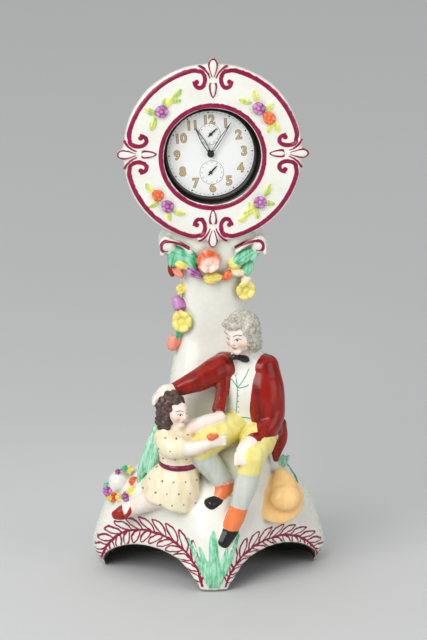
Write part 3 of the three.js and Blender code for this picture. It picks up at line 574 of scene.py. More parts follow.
face = pillar_front
tipped = (0, -1, 0.15)
leftward = (-0.6, -1, 0.1)
blossom((-1, face - 4.2, 171.5), tipped, 6.8, 5, 'rose', cup=0.75, thickness=0.2, turned=0.05, heart=0.14)
for x, y, z, along_x, along_z, half_length, half_width, paint in (
    (1.4, -3.2, 162.4, 1, 0.05, 5.4, 3.2, 'yellow'), (0.2, -4, 160.8, 1, -0.25, 3.8, 1.9, 'yellow'),
    (-9, -3, 165.8, 1, -0.55, 5.2, 3, 'lilac'), (-7.2, -3.6, 163.8, 1, -0.3, 3.6, 1.7, 'lilac'),
    (-15.4, -3, 169.6, 1, -0.4, 4.4, 2.4, 'yellow'), (-17, -1.2, 165, 1, -1, 4.6, 2.4, 'salmon'),
    (9.4, -3, 163.6, 0.6, 1, 3.4, 2.6, 'orange'), (8.4, -3.6, 162.2, 1, 0.4, 2.6, 1.6, 'orange'),
    (13.6, -3, 169.8, 1, 0.2, 4.2, 3.4, 'yellow'), (14.6, -2, 165, 1, -0.3, 4.2, 2.6, 'pale'),
    (19.6, 0, 161, 0.5, -1, 3.6, 3, 'pale'),
):
    leaf((x, face + y, z), (along_x, 0, along_z), tipped, half_length, half_width, 2.4, paint)
blossom(
    (19, face + 1.5, 154.6), (0.25, -1, 0), 5.8, 5, 'yellow', cup=0.6, thickness=0.26, turned=0.1, heart=0.18,
)
leaf((-20.4, face + 3, 165.6), (0.4, 0, -1), (-1, -0.7, 0), 4.6, 2.4, 2, 'red')
blossom((-15, face + 5.2, 154.6), leftward, 3.3, 4, 'yellow', cup=0.4)
tulip((-17, face + 4.6, 147), (0.45, 0, -1), leftward, 8.6, 'lilac')
blossom((-13.8, face + 4, 137), leftward, 6.4, 5, 'yellow', cup=0.6, thickness=0.25, heart=0.18)
tulip((-19.6, face + 5.4, 124.6), (0.35, 0, 1), leftward, 9, 'salmon')
for x, y, z, along_x, along_z, half_length, half_width in (
    (-18.4, -3, 176, 1, -0.35, 7.2, 4.2), (-12, -4.2, 174.6, 1, -0.6, 6.8, 3.9),
    (-20, -2.4, 172, 0.2, 1, 4.6, 3), (-9.6, -4, 170.6, 0.5, -1, 3.8, 2.4),
    (17.6, -4, 173.6, 1, 0.75, 7.4, 3.8), (22.4, -3, 174.4, 0.8, 0.5, 4.8, 3.2),
    (20.6, -1.6, 168, 0.15, 1, 5.6, 3.2), (-16.6, 4.4, 130.6, 0.15, 1, 4.6, 1.7),
    (-14.4, 3.6, 131.4, 0.9, 0.6, 2.6, 1.3),
):
    leaf((x, face + y, z), (along_x, 0, along_z), tipped, half_length, half_width, 1.6)

# The man is of the same clay, joined to the mound before the firing. The figure sits on the mound's shoulder
# with knees apart, one hand on a knee and the other on the girl's head. The open coat hangs in a strip at one
# side and in a tail at the other.
SEAT = np.array((16, -6, 84))
UPWARD = (0, 0, 1)


def set_down(figure, at, turn=(0, 0, 0)):
    """Adds the forms of a figure, which are sorted by paint, at their place."""
    for paint, pieces in figure.items():
        clay(paint, *(placed(piece, at, turn) for piece in pieces))


man = {
    'breeches': [
        limb([(-1, 0, 0, 9, 9), (-12, -12, -2, 8.5, 8), (-23.5, -21, -8, 7, 6.8)], UPWARD),
        limb([(11, 0, -3, 10, 9), (8.5, -13, -6, 9.5, 8.5), (3.5, -24.5, -11.5, 8, 8)]),
        limb([(3.6, -25.2, -12, 7.4, 7.2), (2.6, -26, -18.5, 6.6, 6.4)]),
        egg((6, 0, -3), (15, 9.5, 8.5)),
    ],
    'stocking': [
        limb([(-22.5, -19, -11, 7, 6), (-16, -17.5, -19.5, 6.6, 5.8), (-9.5, -16, -28, 4.8, 4.6)]),
        limb([(3, -25.5, -18, 5.9, 6), (1, -26.5, -27, 6.2, 6), (-3, -26.5, -40, 4.6, 4.6)]),
    ],
    'sock': [
        limb([(-11, -16.3, -26, 5.1, 4.9), (-9.5, -15.8, -30, 4.9, 4.8), (-12.5, -18.5, -35.5, 4, 3.6)]),
        limb([(-2.6, -26.5, -39, 5, 4.9), (-4.5, -26.8, -44.5, 5, 4.8), (-7, -27.5, -49.5, 4.5, 4.1)]),
    ],
    # The shoes, and the bow at the neck.
    'black': [
        limb([(-9.2, -16.6, -33, 3.6, 3.4), (-13, -19, -36.4, 4, 3), (-18, -22.8, -38, 3.6, 2.8)]),
        limb([(-6.6, -27.4, -50.5, 4.4, 3.6), (-9, -28.6, -54, 4.2, 3.4), (-11.2, -30, -57.5, 3.4, 3)]),
        petal((-4.1, -8, 39.1), (1, 0, 0.25), FORWARD, 3.2, 1.7, 2.2),
        petal((1.1, -8, 37.9), (1, 0, -0.25), FORWARD, 3.2, 1.7, 2.2),
        egg((-1.5, -8.6, 38.4), (1.1, 2, 1.2)),
    ],
    # The shirt under a white waistcoat.
    'white': [
        limb([
            (5, 2, -5, 14, 10), (5, 2, 7, 13.5, 10.5), (4, 1, 20, 14.5, 11.5), (4, 1, 31, 13.5, 9.5),
            (1, -1, 38, 6.5, 6.5),
        ], around=40),
    ],
    'coat': [
        egg((8.6, 0, 33.6), (8.6, 7, 5)),
        limb([
            (10.8, -4, 30.5, 6.2, 4.5), (12.2, -7.5, 22, 8.4, 5), (13, -8, 8, 8.4, 5.5), (15.5, -5, -4, 7, 5),
        ]),
        limb([
            (-9, -5, 29, 3.6, 3.3), (-9.8, -7.5, 18, 2.5, 2.9), (-11.6, -9, 10, 2.5, 2.3),
            (-13.2, -9.6, 7.2, 2.3, 2),
        ]),
        limb([(19, 0, 0, 6, 5), (20, 0, -9, 5, 3.6), (19, -1, -20, 1.6, 1.6)]),
        limb([
            (-9.6, -1, 31.4, 7.8, 8), (-15, -3, 29.6, 7.5, 7.2), (-24, -7, 26, 6.2, 5.8),
            (-36, -10, 21.8, 4, 4),
        ]),
        egg((-8, 2, 35), (7, 7, 4.5)),
        limb([
            (5.4, 6, -5, 13.8, 8), (5.2, 5.4, 7, 13.6, 9), (4.4, 4.6, 20, 14.4, 10),
            (4.2, 3.6, 31, 13.2, 8.6),
        ]),
        limb([
            (12, -1, 32, 8.5, 8.5), (15.6, -3, 18, 7.6, 8), (15.4, -7, 4, 7.2, 7.4), (9.6, -17, -3.5, 5, 5),
            (5.6, -21.4, -4.6, 4.7, 4.7),
        ]),
    ],
    'lining': [
        limb([(-12, -5.5, 26, 1.5, 2.8), (-12.8, -7.5, 18, 1.5, 2.4), (-14.6, -9.2, 10.5, 1.5, 1.9)]),
    ],
    # Both hands and the neck.
    'skin': [
        limb([(-36, -10, 21.8, 3.2, 3), (-40.5, -12, 22, 4.6, 3.6), (-43.5, -13.4, 20.4, 4.2, 3)], (0, 1, 0)),
        limb([(6.4, -21, -4.4, 3.8, 3.6), (2.6, -24.4, -5.4, 4.6, 4), (-0.4, -27, -8.4, 4.3, 3.3)]),
        limb([(1, 0, 36, 5.4, 5.4), (0, -4, 44, 4.6, 4.8)]),
    ],
}
for finger in range(4):
    man['skin'].append(limb([
        (-42.6, -10.6 - finger * 2.1, 21.4, 1.3, 1.3), (-46, -10.9 - finger * 2.2, 19.6, 1.25, 1.2),
        (-47.6, -11.1 - finger * 2.2, 16.4, 1, 1),
    ], around=12))
    man['skin'].append(limb([
        (-3.8 + finger * 2.3, -28.4 + finger * 0.4, -8.6, 1.4, 1.3),
        (-4.3 + finger * 2.25, -30.4, -11.6, 1.3, 1.2),
        (-4.5 + finger * 2.1, -31.2, -14.2 + finger * 0.4, 1.05, 1),
    ], around=12))
set_down(man, SEAT)

# The man's head looks down at the girl. Both faces are calm and of plain proportions, with brow, nose, lips
# and chin on an egg, under a head of small curls.
MAN_HEAD = (SEAT + (-0.8, -8, 52), (18, 0, -38))
MAN_HEAD_SIZE = 0.93


def face_forms(k):
    """Nose, lips, chin, cheeks and brow on the front of an egg of a head, k times the full size."""
    return [
        egg((0, 0, 0), (8 * k, 9 * k, 11.2 * k)),
        limb([(0, -8.2 * k, 2.6 * k, 0.7 * k, k), (0, -9.6 * k, -2 * k, 1.2 * k, 1.4 * k)], around=12),
        egg((0, -6.2 * k, -8.2 * k), (3.1 * k, 2.4 * k, 2.3 * k)),
        egg((0, -8.2 * k, -5.1 * k), (1.9 * k, 1.1 * k, 0.75 * k)),
        egg((-3.9 * k, -5.6 * k, -2.8 * k), (2.9 * k, 2.3 * k, 3 * k)),
        egg((3.9 * k, -5.6 * k, -2.8 * k), (2.9 * k, 2.3 * k, 3 * k)),
        limb([
            (-4.6 * k, -6.8 * k, 3.2 * k, 0.7 * k, 0.8 * k), (0, -8.3 * k, 3.3 * k, 0.7 * k, 0.8 * k),
            (4.6 * k, -6.8 * k, 3.2 * k, 0.7 * k, 0.8 * k),
        ], UPWARD, around=12),
    ]


GOLDEN_ANGLE = 2.39996


def curled(centre, half, count, size, seed):
    """An egg of hair with small round curls spread over it, away from the face."""
    chance = np.random.default_rng(seed)
    centre, half = np.array(centre, float), np.array(half, float)
    pieces = [egg(centre, half)]
    for i in range(count):
        rise = 1 - 2 * (i + 0.5) / count
        turn = i * GOLDEN_ANGLE
        way = np.array((math.cos(turn), math.sin(turn), 0)) * math.sqrt(1 - rise * rise) + (0, 0, rise)
        at = centre + way * half * 0.95
        radius = size * chance.uniform(0.8, 1.25)
        tilt = chance.uniform(0, 90, 3)
        if at[1] > -4.5 or at[2] > 6.5:
            pieces.append(egg(at, (radius, radius, radius * 0.75), tilt, 14, 8))
    return pieces


set_down({
    'skin': face_forms(MAN_HEAD_SIZE),
    'grey_hair': curled((0.6, 2.4, 2.6), (9.2, 8.6, 8.9), 110, 1.3, 11)
    + curled((7.4, 1, -4), (3, 4.8, 6.6), 34, 1.25, 12)
    + curled((-6.8, 1.6, -0.6), (2.2, 4.2, 5.2), 22, 1.2, 13)
    + curled((-0.8, -4.4, 7.7), (5.7, 3.8, 2.6), 26, 1.2, 14),
}, *MAN_HEAD)

# The girl is joined on in the same way, and kneels beside the man with both arms across the man's knee. The
# frock has full sleeves and a ribbon at the waist, and one shoe shows behind it.
WAIST = np.array((-18, -20, 66))
girl = {
    'dress': [
        limb([
            (0.5, 0, 0, 9.4, 8), (-0.5, -2, 8, 10.5, 8.5), (-2, -2, 16, 9, 7.5), (-2, -3, 23, 4.5, 4.5),
        ], around=32),
        limb([
            (0.5, 0, 0, 9.6, 8.5), (0, -1, -6, 11.3, 9.5), (-1.8, -2, -13.5, 13.8, 10),
            (-4.4, -2, -21.5, 14.8, 9),
        ], around=48, ends=0.3),
        limb([(-4, 0, -3, 7, 7), (-11, 2, -10, 7.4, 6.5), (-15.8, 4, -14, 4.8, 5)]),
        limb([(-7, -4, 16.5, 6.8, 6.8), (-4.5, -9, 12.2, 6.6, 6.6), (1, -11, 12, 5.6, 5.6)]),
    ],
    # The neck, the leg, both arms and the hand at the front.
    'skin': [
        limb([(-2, -4, 21, 3.8, 3.8), (-2, -5, 26, 3.6, 3.6)]),
        limb([(-9, 1, -17, 7, 6.5), (-18, 5, -22.5, 5.6, 5.2), (-26, 8, -27, 4, 3.8)]),
        limb([(-1, -11, 11.6, 4.6, 4.4), (8, -13.5, 12.4, 3.9, 3.7), (16, -15, 15.4, 2.9, 2.7)]),
        limb([(16, -15, 15.4, 2.9, 2.4), (20.4, -15, 17, 3.2, 2.2)]),
        limb([(5, -2, 20, 3.8, 3.6), (16, -1, 24, 3.8, 3.4), (23, 1, 25.4, 3.2, 2.8)]),
    ],
    # The shoe and its strap.
    'shoe': [
        limb([(-28.5, 8, -28, 3.8, 3.7), (-31.4, 8.3, -29.6, 3.9, 3.3), (-34, 8.8, -30.6, 2.8, 2.4)]),
        limb([
            (-25.2, 4.4, -23.6, 0.8, 0.8), (-26.2, 3.8, -27, 0.8, 0.8), (-28.2, 4.2, -31, 0.8, 0.8),
        ], around=10),
    ],
    # The sock.
    'white': [limb([(-24.6, 7.6, -26.4, 4, 3.8), (-28.4, 8, -28, 3.9, 3.8)])],
    # A flower in the hand.
    'orange': [egg((16.4, -17.2, 19.6), (2.6, 1.6, 1.9)), egg((19, -17, 20.2), (1.5, 1.5, 1.4))],
}
for finger in range(3):
    girl['skin'].append(limb([
        (20.4, -16.2 + finger * 0.3, 18.6 - finger * 1.9, 1.1, 1.1), (24.2, -15.6, 19 - finger * 1.9, 1, 0.9),
    ], around=10))
set_down(girl, WAIST)
ribbon = []
for turn in np.radians(np.arange(0, 361, 20)):
    x = WAIST[0] + 0.3 + 9.9 * math.cos(turn)
    y = WAIST[1] - 0.3 + 8.9 * math.sin(turn)
    z = WAIST[2] + 1.6 + 1.6 * math.sin(turn)
    ribbon.append((x, y, z, 1.3, 1.1))
clay('ribbon', limb(ribbon, UPWARD, around=12, ends=0))

GIRL_HEAD = (WAIST + (-1.6, -4.5, 30.4), (8, 0, 40))
GIRL_HEAD_SIZE = 0.75
set_down({
    'skin': face_forms(GIRL_HEAD_SIZE),
    'brown_hair': curled((-1, 3.4, 1.6), (7.4, 6.2, 7.8), 46, 1.9, 21)
    + curled((-6, 2.6, -4.4), (3.2, 4.6, 6), 20, 1.8, 22)
    + curled((-1.6, 0.4, 6.9), (5.2, 4.6, 2.2), 18, 1.3, 23)
    + [egg((5, 4.2, -2.6), (2.2, 3, 4.2))],
}, *GIRL_HEAD)

# A trimmed bonnet and a soft peaked hat lie on the mound, one on each side. Long leaves stand behind the
# girl, a tuft behind the hat, and grass grows up the front foot. All are clay, pressed on by hand.
BONNET = (-49, 47)
bonnet_at = np.array((BONNET[0], mound_front(*BONNET) + 1, BONNET[1]))
clay('white', egg(bonnet_at, (6.6, 6.2, 7)))
for paint, x, z, radius in (
    ('leaf', -46.6, 56.2, 1.9), ('yellow', -43.6, 55.2, 2.4), ('orange', -41.8, 50.6, 2.6),
    ('yellow', -43, 46.4, 2.6), ('lilac', -46, 42.8, 2.7), ('yellow', -49.6, 41, 2.3),
    ('orange', -52.8, 40.2, 2.4), ('yellow', -55, 40, 1.9), ('lilac', -56.2, 43.4, 2.4),
    ('leaf', -56.6, 46.6, 1.8), ('lilac', -50.4, 54.4, 1.7),
):
    y = min(bonnet_at[1] - 2.5 + 0.25 * (z - BONNET[1]), mound_front(x, z) - 1.2)
    blossom((x, y, z), (-0.15, -1, 0.25), radius * 1.15, 4, paint)

HAT = (36, 45)
hat_at = (HAT[0], mound_front(*HAT) - 2.5, HAT[1])
for piece in (
    egg((0, 0, -1), (14.6, 2.6, 13.8)),
    egg((2.6, -4.2, -1.2), (8.8, 5.6, 7.4)),
    limb([(3, -3, 2, 8.2, 3.8), (2.8, -2.4, 8.8, 6.2, 2.9), (1.8, -1.2, 13.8, 3.2, 2)]),
):
    clay('hat', placed(piece, hat_at, (-22, 0, 14)))

clay('blade', limb([
    (-38.6, -1, 52, 1.6, 1.8), (-36, -2, 61, 2.9, 2.4), (-32, -1, 73, 2.5, 2.2), (-28.4, 2, 84, 0.9, 1.2),
]))
clay('blade', limb([(-33.6, -4.6, 55, 1.4, 1.8), (-31, -5, 64, 2.5, 2.4), (-28, -3, 76, 1.5, 1.8)]))
for lean in (-1, -0.4, 0.3, 1):
    leaf((38.3 + lean * 3, 3, 60.5), (lean * 0.5, 0, 1), (0, -1, 0.3), 4.2, 1.7, 2.6, 'blade')
GRASS_ROOT = 3
for root_x, tip_x, tip_z, half_width in (
    (-1.7, -13.4, 27.9, 2.3), (-1, -7.6, 24.6, 1.6), (0.2, -0.6, 32.8, 3), (1.2, 6.9, 24, 1.9),
    (1.8, 13.3, 29.4, 2.2),
):
    stations = []
    for along in np.linspace(0, 1, 7):
        x = root_x + (tip_x - root_x) * along ** 1.15
        z = GRASS_ROOT + (tip_z - GRASS_ROOT) * along
        width = half_width * math.sin(math.pi * (0.16 + 0.76 * along)) ** 0.8
        stations.append((x, mound_front(x, z) + 0.1, z, max(width, 0.5), 0.9))
    clay('blade', limb(stations, around=16, ends=0.5))

# The cast. Forms of one colour are joined, all are melted into one skin with soft seams, and the hollow, the
# arches, the window and the pocket are cut out of it, as the wet clay is cut and sponged.
# The grid's cell, how far from a surface distances are kept, and the width of a seam, in millimetres.
VOXEL = 0.5
BAND = 3.0
SEAM = 1.1
stand_low, stand_high = (np.array(corner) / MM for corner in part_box('watch_stand'))
block_low = np.floor((stand_low - 6) / VOXEL).astype(int)
block_size = np.ceil((stand_high + 6) / VOXEL).astype(int) - block_low


def distances(pieces):
    """How far each point of a grid lies outside some closed forms, up to the band, and the grid's corner."""
    offset = np.cumsum([0] + [len(points) for points, _, _ in pieces])
    points = np.vstack([points for points, _, _ in pieces]).astype(np.float32)
    quads = np.vstack([quads + start for (_, quads, _), start in zip(pieces, offset)]).astype(np.uint32)
    triangles = np.vstack([triangles + start for (_, _, triangles), start in zip(pieces, offset)])
    grid = openvdb.FloatGrid.createLevelSetFromPolygons(
        points, triangles=triangles.astype(np.uint32), quads=quads,
        transform=openvdb.createLinearTransform(voxelSize=VOXEL), halfWidth=BAND / VOXEL,
    )
    low, high = (np.array(corner) for corner in grid.evalActiveVoxelBoundingBox())
    values = np.empty(high - low + 1, np.float32)
    grid.copyToArray(values, ijk=tuple(int(v) for v in low))
    return low, values


def overlap(low, values):
    """The part of the whole block that a smaller grid covers, and the part of that grid inside the block."""
    start = np.maximum(low - block_low, 0)
    stop = np.minimum(low - block_low + values.shape, block_size)
    shift = block_low - low
    return tuple(map(slice, start, stop)), tuple(map(slice, start + shift, stop + shift))


def melted(a, b, seam):
    """The nearer of two distances, rounded where they are alike."""
    near = np.maximum(seam - np.abs(a - b), 0) / seam
    return np.minimum(a, b) - near * near * seam / 4


block = np.full(block_size, BAND, np.float32)
fields = {paint: distances(pieces) for paint, pieces in forms.items()}
for low, values in fields.values():
    whole, part = overlap(low, values)
    block[whole] = melted(block[whole], values[part], SEAM)
for piece in cuts:
    low, values = distances([piece])
    whole, part = overlap(low, values)
    block[whole] = -melted(-block[whole], values[part], SEAM)
for axis in range(3):
    rolled = (np.roll(block, 1, axis) + np.roll(block, -1, axis)) / 2
    block = (block + rolled) / 2


def sample(low, values, points):
    """Values of a grid at points in millimetres; outside it, the band."""
    place = points / VOXEL - low
    corner = np.floor(place).astype(int)
    part = place - corner
    inside = np.all((corner >= 0) & (corner < np.array(values.shape) - 1), axis=1)
    corner, part = corner[inside], part[inside]
    total = np.zeros(len(corner))
    for step in np.ndindex(2, 2, 2):
        weight = np.prod(np.where(step, part, 1 - part), axis=1)
        total += weight * values[tuple((corner + step).T)]
    result = np.full(len(points), BAND)
    result[inside] = total
    return result


def normals_at(points):
    """The way that the melted skin faces at some points."""
    slope = np.stack([
        sample(block_low, block, points + step) - sample(block_low, block, points - step)
        for step in np.eye(3) * VOXEL
    ], -1)
    return slope / np.maximum(np.linalg.norm(slope, axis=1, keepdims=True), 1e-6)


skin = openvdb.FloatGrid(BAND)
skin.copyFromArray(block, ijk=tuple(int(v) for v in block_low), tolerance=0.0)
skin.transform = openvdb.createLinearTransform(voxelSize=VOXEL)
points, _, quads = skin.convertToPolygons(isovalue=0.0, adaptivity=0.0)
points = points.astype(float)
normals = normals_at(points)


def group_masks(points):
    """For each paint, how far a point lies inside its own forms before any other's, in millimetres."""
    own = {paint: sample(*field, points) for paint, field in fields.items()}
    stack = np.stack(list(own.values()))
    order = np.sort(stack, axis=0)[:2]
    return {paint: np.where(value <= order[0], order[1], order[0]) - value for paint, value in own.items()}


def waves(points, scale, seed):
    """Smooth unevenness between -1 and 1 from a few turned waves."""
    chance = np.random.default_rng(seed)
    total = np.zeros(len(points))
    for _ in range(7):
        way = unit(chance.normal(size=3)) / scale * chance.uniform(0.6, 1.5)
        total += np.sin(points @ way * 2 * math.pi + chance.uniform(0, 6.3))
    return total / 3.5


# Tooling that is cut or pressed into the soft clay before it is fired: raised lines and leaves, curls in the
# hair, folds in cloth and veins in petals.
FROCK_FOLDS_TOP = 64
PRESSED_FLOWERS = ('yellow', 'orange', 'lilac', 'rose', 'salmon', 'pale', 'leaf')
masks = group_masks(points)


def held(paint, soft=0.8):
    """1 where a paint's own forms show, fading to 0 at their edges."""
    return np.clip(masks[paint] / soft, 0, 1)


def carving(points):
    """Depth from 0 to 1 of the cuts between petals, round hearts and along the midribs of leaves."""
    depth = np.zeros(len(points))
    for at, facing, side, up, radius, petals, turned in blooms:
        near = np.flatnonzero(np.abs(points - at).max(1) < radius * 1.3)
        offset = points[near] - at
        across, rise = offset @ side, offset @ up
        reach, turn = np.hypot(across, rise), np.arctan2(rise, across) - turned * 2 * math.pi
        split = np.abs(np.sin((turn - math.pi / petals) * petals / 2)) * reach * 2 / petals
        cut = np.exp(-(split / 0.42) ** 2) * np.clip(reach / radius * 3 - 0.8, 0, 1)
        heart = np.exp(-((reach - radius * 0.34) / 0.4) ** 2)
        seen = np.clip((offset @ facing) / radius * 6 + 1.5, 0, 1)
        seen = seen * np.clip((1.25 - reach / radius) * 6, 0, 1)
        depth[near] = np.maximum(depth[near], np.maximum(cut, heart) * seen)
    for at, along, across, half_length, half_width in ribs:
        near = np.flatnonzero(np.abs(points - at).max(1) < half_length * 1.1)
        offset = points[near] - at
        lengthwise, side = offset @ along, offset @ across
        inside = np.clip(1.2 - (lengthwise / half_length) ** 2 - (side / half_width) ** 2, 0, 1)
        vein = np.exp(-(((lengthwise - np.abs(side) * 1.3) % 2.1 - 1.05) / 0.3) ** 2) * 0.25
        midrib = np.exp(-(side / 0.4) ** 2)
        depth[near] = np.maximum(depth[near], np.maximum(midrib, vein) * np.minimum(inside * 3, 1))
    return depth


x, y, z = points.T
facing = np.clip(-normals[:, 1] * 2.5, 0, 1)
on_plate = facing * np.clip((z - PLATE_FOOT) / 2, 0, 1) * np.clip(PLATE_FRONT + 2 - y, 0, 1)
# How far each point is raised, in millimetres.
lift = 0.45 * np.clip(0.6 - plate_lines(x, z), 0, 1) * on_plate
on_mound = facing * np.clip((LAUREL_TOP - z) / 4, 0, 1) * held('white')
lift += 0.4 * np.clip(0.3 - laurel_lines(x, z)[1], 0, 1) * on_mound
lift -= 0.34 * carving(points)
lift += 0.25 * waves(points * (1, 1, 0.8), 2.4, 3) * held('grey_hair')
lift += 0.3 * waves(points, 2.6, 5) * held('brown_hair')
drape = waves(points * (1, 1, 0.25), 6, 8)
lift += 0.45 * drape * held('dress') * np.clip((FROCK_FOLDS_TOP - z) / 8, 0, 1)
lift += 0.2 * waves(points * (1, 1, 0.4), 9, 9) * held('coat', 1.5)
lift += 0.2 * waves(points * (1, 1, 0.6), 8, 10) * held('breeches', 1.5)
pressed = 0.14 * waves(points, 2.6, 12)
for paint in PRESSED_FLOWERS:
    lift += pressed * held(paint)
lift += 0.1 * waves(points, 14, 15)
points = points + normals * lift[:, None]

# The mesh is thinned out by how much each place matters to the eye: the hollow and the back lose the most.
STAND_TRIANGLES = 195000
CARE_STEPS = 10
figures = np.max([held(paint) for paint in fields if paint not in ('white', 'hat')], axis=0)
front_side = np.clip((30 - y) / 30, 0, 1)
care = 0.25 + 0.35 * front_side + 0.4 * figures
care *= 1 - 0.9 * np.clip(1 - np.abs(sample(*distances(cuts[:1]), points)), 0, 1)


def linked(name, data):
    """An object in the scene with the given mesh, lamp or camera."""
    obj = bpy.data.objects.new(name, data)
    bpy.context.scene.collection.objects.link(obj)
    return obj


def made_mesh(name, points, faces):
    """A smooth-shaded object in metres from points in millimetres."""
    mesh = bpy.data.meshes.new(name)
    mesh.vertices.add(len(points))
    mesh.vertices.foreach_set('co', (np.asarray(points) * MM).astype(np.float32).ravel())
    count, corners = faces.shape
    mesh.loops.add(count * corners)
    mesh.polygons.add(count)
    mesh.loops.foreach_set('vertex_index', faces.ravel().astype(np.int32))
    mesh.polygons.foreach_set('loop_start', (np.arange(count) * corners).astype(np.int32))
    mesh.update(calc_edges=True)
    mesh.validate()
    mesh.shade_smooth()
    return linked(name, mesh)


stand = made_mesh('painted_stand', points, quads)
weights = stand.vertex_groups.new(name='plain')
for step in range(CARE_STEPS):
    chosen = np.flatnonzero(np.floor(np.clip(care, 0, 0.999) * CARE_STEPS) == step)
    weights.add(chosen.tolist(), 1 - (step + 0.5) / CARE_STEPS, 'REPLACE')
thinned = stand.modifiers.new('thinned', 'DECIMATE')
thinned.ratio = STAND_TRIANGLES / (2 * len(quads))
thinned.vertex_group = 'plain'
thinned.vertex_group_factor = 0.0005
bpy.context.view_layer.update()
graph = bpy.context.evaluated_depsgraph_get()
final = bpy.data.meshes.new_from_object(stand.evaluated_get(graph))
stand.modifiers.clear()
stand.vertex_groups.clear()
stand.data = final
count = len(final.vertices)
points = np.empty(count * 3)
final.vertices.foreach_get('co', points)
points = points.reshape(-1, 3) / MM


def note(name, values):
    """Stores one number per point of the stand, for its paint."""
    attribute = final.attributes.new(name, 'FLOAT', 'POINT')
    attribute.data.foreach_set('value', np.asarray(values, np.float32))


masks = group_masks(points)
for paint, values in masks.items():
    note('mask_' + paint, np.clip(values, -1.5, 1.5))
normals = normals_at(points)
# How closed in each place is; creases are darkened from it, as gathered glaze and colour and as painted
# shade.
note('crease', np.clip(1 - sample(block_low, block, points + normals * 2.4) / 2.4, 0, 1))

# Plain glazed clay shines evenly: there the light follows the smooth skin, not the thinned faces.
own = np.empty(count * 3)
final.vertices.foreach_get('normal', own)
own = own.reshape(-1, 3)
x, y, z = points.T
relief = np.clip(0.6 - plate_lines(x, z), 0, 1) * np.clip((z - PLATE_FOOT) / 2, 0, 1)
leaves = np.clip(0.5 - laurel_lines(x, z)[1], 0, 1) * np.clip((LAUREL_TOP - z) / 4, 0, 1)
relief = np.maximum(relief, leaves)
even = held('white') * (1 - relief) * np.clip(2 * (own * normals).sum(1) - 0.8, 0, 1)
blended = own + (normals - own) * even[:, None]
blended /= np.linalg.norm(blended, axis=1, keepdims=True)
final.normals_split_custom_set_from_vertices(blended.tolist())
note('front', -normals[:, 1])
note('carved', carving(points))
note('outside', np.clip(sample(*distances(cuts), points), -1, 2))
note('hollow', np.clip(sample(*distances(cuts[:BASE_CUTS]), points), -1, 2))


# Paint and glaze. The clay has a white glaze, whose greenish grey gathers in the creases, and the creases
# are also darkened with painted shade. Enamel colours are brushed over it by hand, thin enough to vary, and
# fired on.
def colour(red, green, blue):
    """A shader colour from the 0 to 255 values of a paint chart."""
    linear = []
    for value in (red, green, blue):
        part = value / 255
        linear.append(part / 12.92 if value < 10 else ((part + 0.055) / 1.055) ** 2.4)
    return (*linear, 1)


def new_material(name, roughness, metallic=0.0, coat=0.0, ior=1.5):
    """A material, and the wire from which its nodes are added."""
    material = bpy.data.materials.new(name)
    material.use_nodes = True
    shader = material.node_tree.nodes['Principled BSDF']
    shader.inputs['Roughness'].default_value = roughness
    shader.inputs['Metallic'].default_value = metallic
    shader.inputs['Coat Weight'].default_value = coat
    shader.inputs['Coat Roughness'].default_value = 0.06
    shader.inputs['IOR'].default_value = ior
    shader.inputs['Specular IOR Level'].default_value = 0.32
    return material, shader, Wire(shader.outputs[0])


def feed(shader, name, wire):
    """Links a wire to a socket of the shader."""
    shader.id_data.links.new(shader.inputs[name], wire.socket)


def mix(first, second, factor):
    """The first colour where the factor is 0, the second where it is 1."""
    wire = next(value for value in (factor, first, second) if isinstance(value, Wire))
    return wire.node('ShaderNodeMix', {'data_type': 'RGBA'}, {0: factor, 6: first, 7: second}, 2)


def noise(wire, place, scale, detail=2.0):
    """Cloudy unevenness around 0.5; the scale is in waves per millimetre."""
    return wire.node('ShaderNodeTexNoise', {'noise_dimensions': '3D'}, {
        'Vector': place, 'Scale': scale, 'Detail': detail,
    })


def bumped(shader, height, distance):
    """Unevenness of the surface; the distance is in metres."""
    bump = height.node('ShaderNodeBump', (), {'Height': height, 'Distance': distance, 'Strength': 1.0})
    feed(shader, 'Normal', bump)


def in_millimetres(wire):
    """The place on the object, and its three numbers."""
    place = wire.node('ShaderNodeTexCoord', output='Object')
    place = wire.node('ShaderNodeVectorMath', {'operation': 'SCALE'}, {0: place, 'Scale': 1000.0})
    return place, [place.node('ShaderNodeSeparateXYZ', (), {0: place}, axis) for axis in range(3)]


def painted(distance, soft=0.14):
    """1 inside a brushed shape and 0 outside it, from the distance outside its edge."""
    return share(0.5 - distance / soft)


def noted(wire, name):
    """A number that was stored on the stand's points."""
    return wire.node('ShaderNodeAttribute', {'attribute_name': name}, (), 'Fac')


glaze, glaze_shader, start = new_material('painted_glaze', 0.2, coat=0.15)
place, (px, py, pz) = in_millimetres(start)
crease = noted(start, 'crease')
broad = noise(start, place, 0.06)
fine = noise(start, place, 0.35, 3.0)
grain = noise(start, place, 1.1, 2.0)
wobble = (noise(start, place, 0.5, 2.0) - 0.5) * 0.9
wobble_x = px + (noise(start, place, 0.22) - 0.5) * 1.6
wobble_z = pz + (noise(start, place, 0.22 * 1.07) - 0.5) * 1.6

white = mix(colour(236, 236, 228), colour(224, 225, 213), share(broad * 1.6 - 0.4))
# Painted shade, with the glaze's greenish grey that gathers there: the white is darker in the creases.
shade = mix(white, colour(192, 192, 174), share(crease * 1.6 - 0.3) * 0.85)
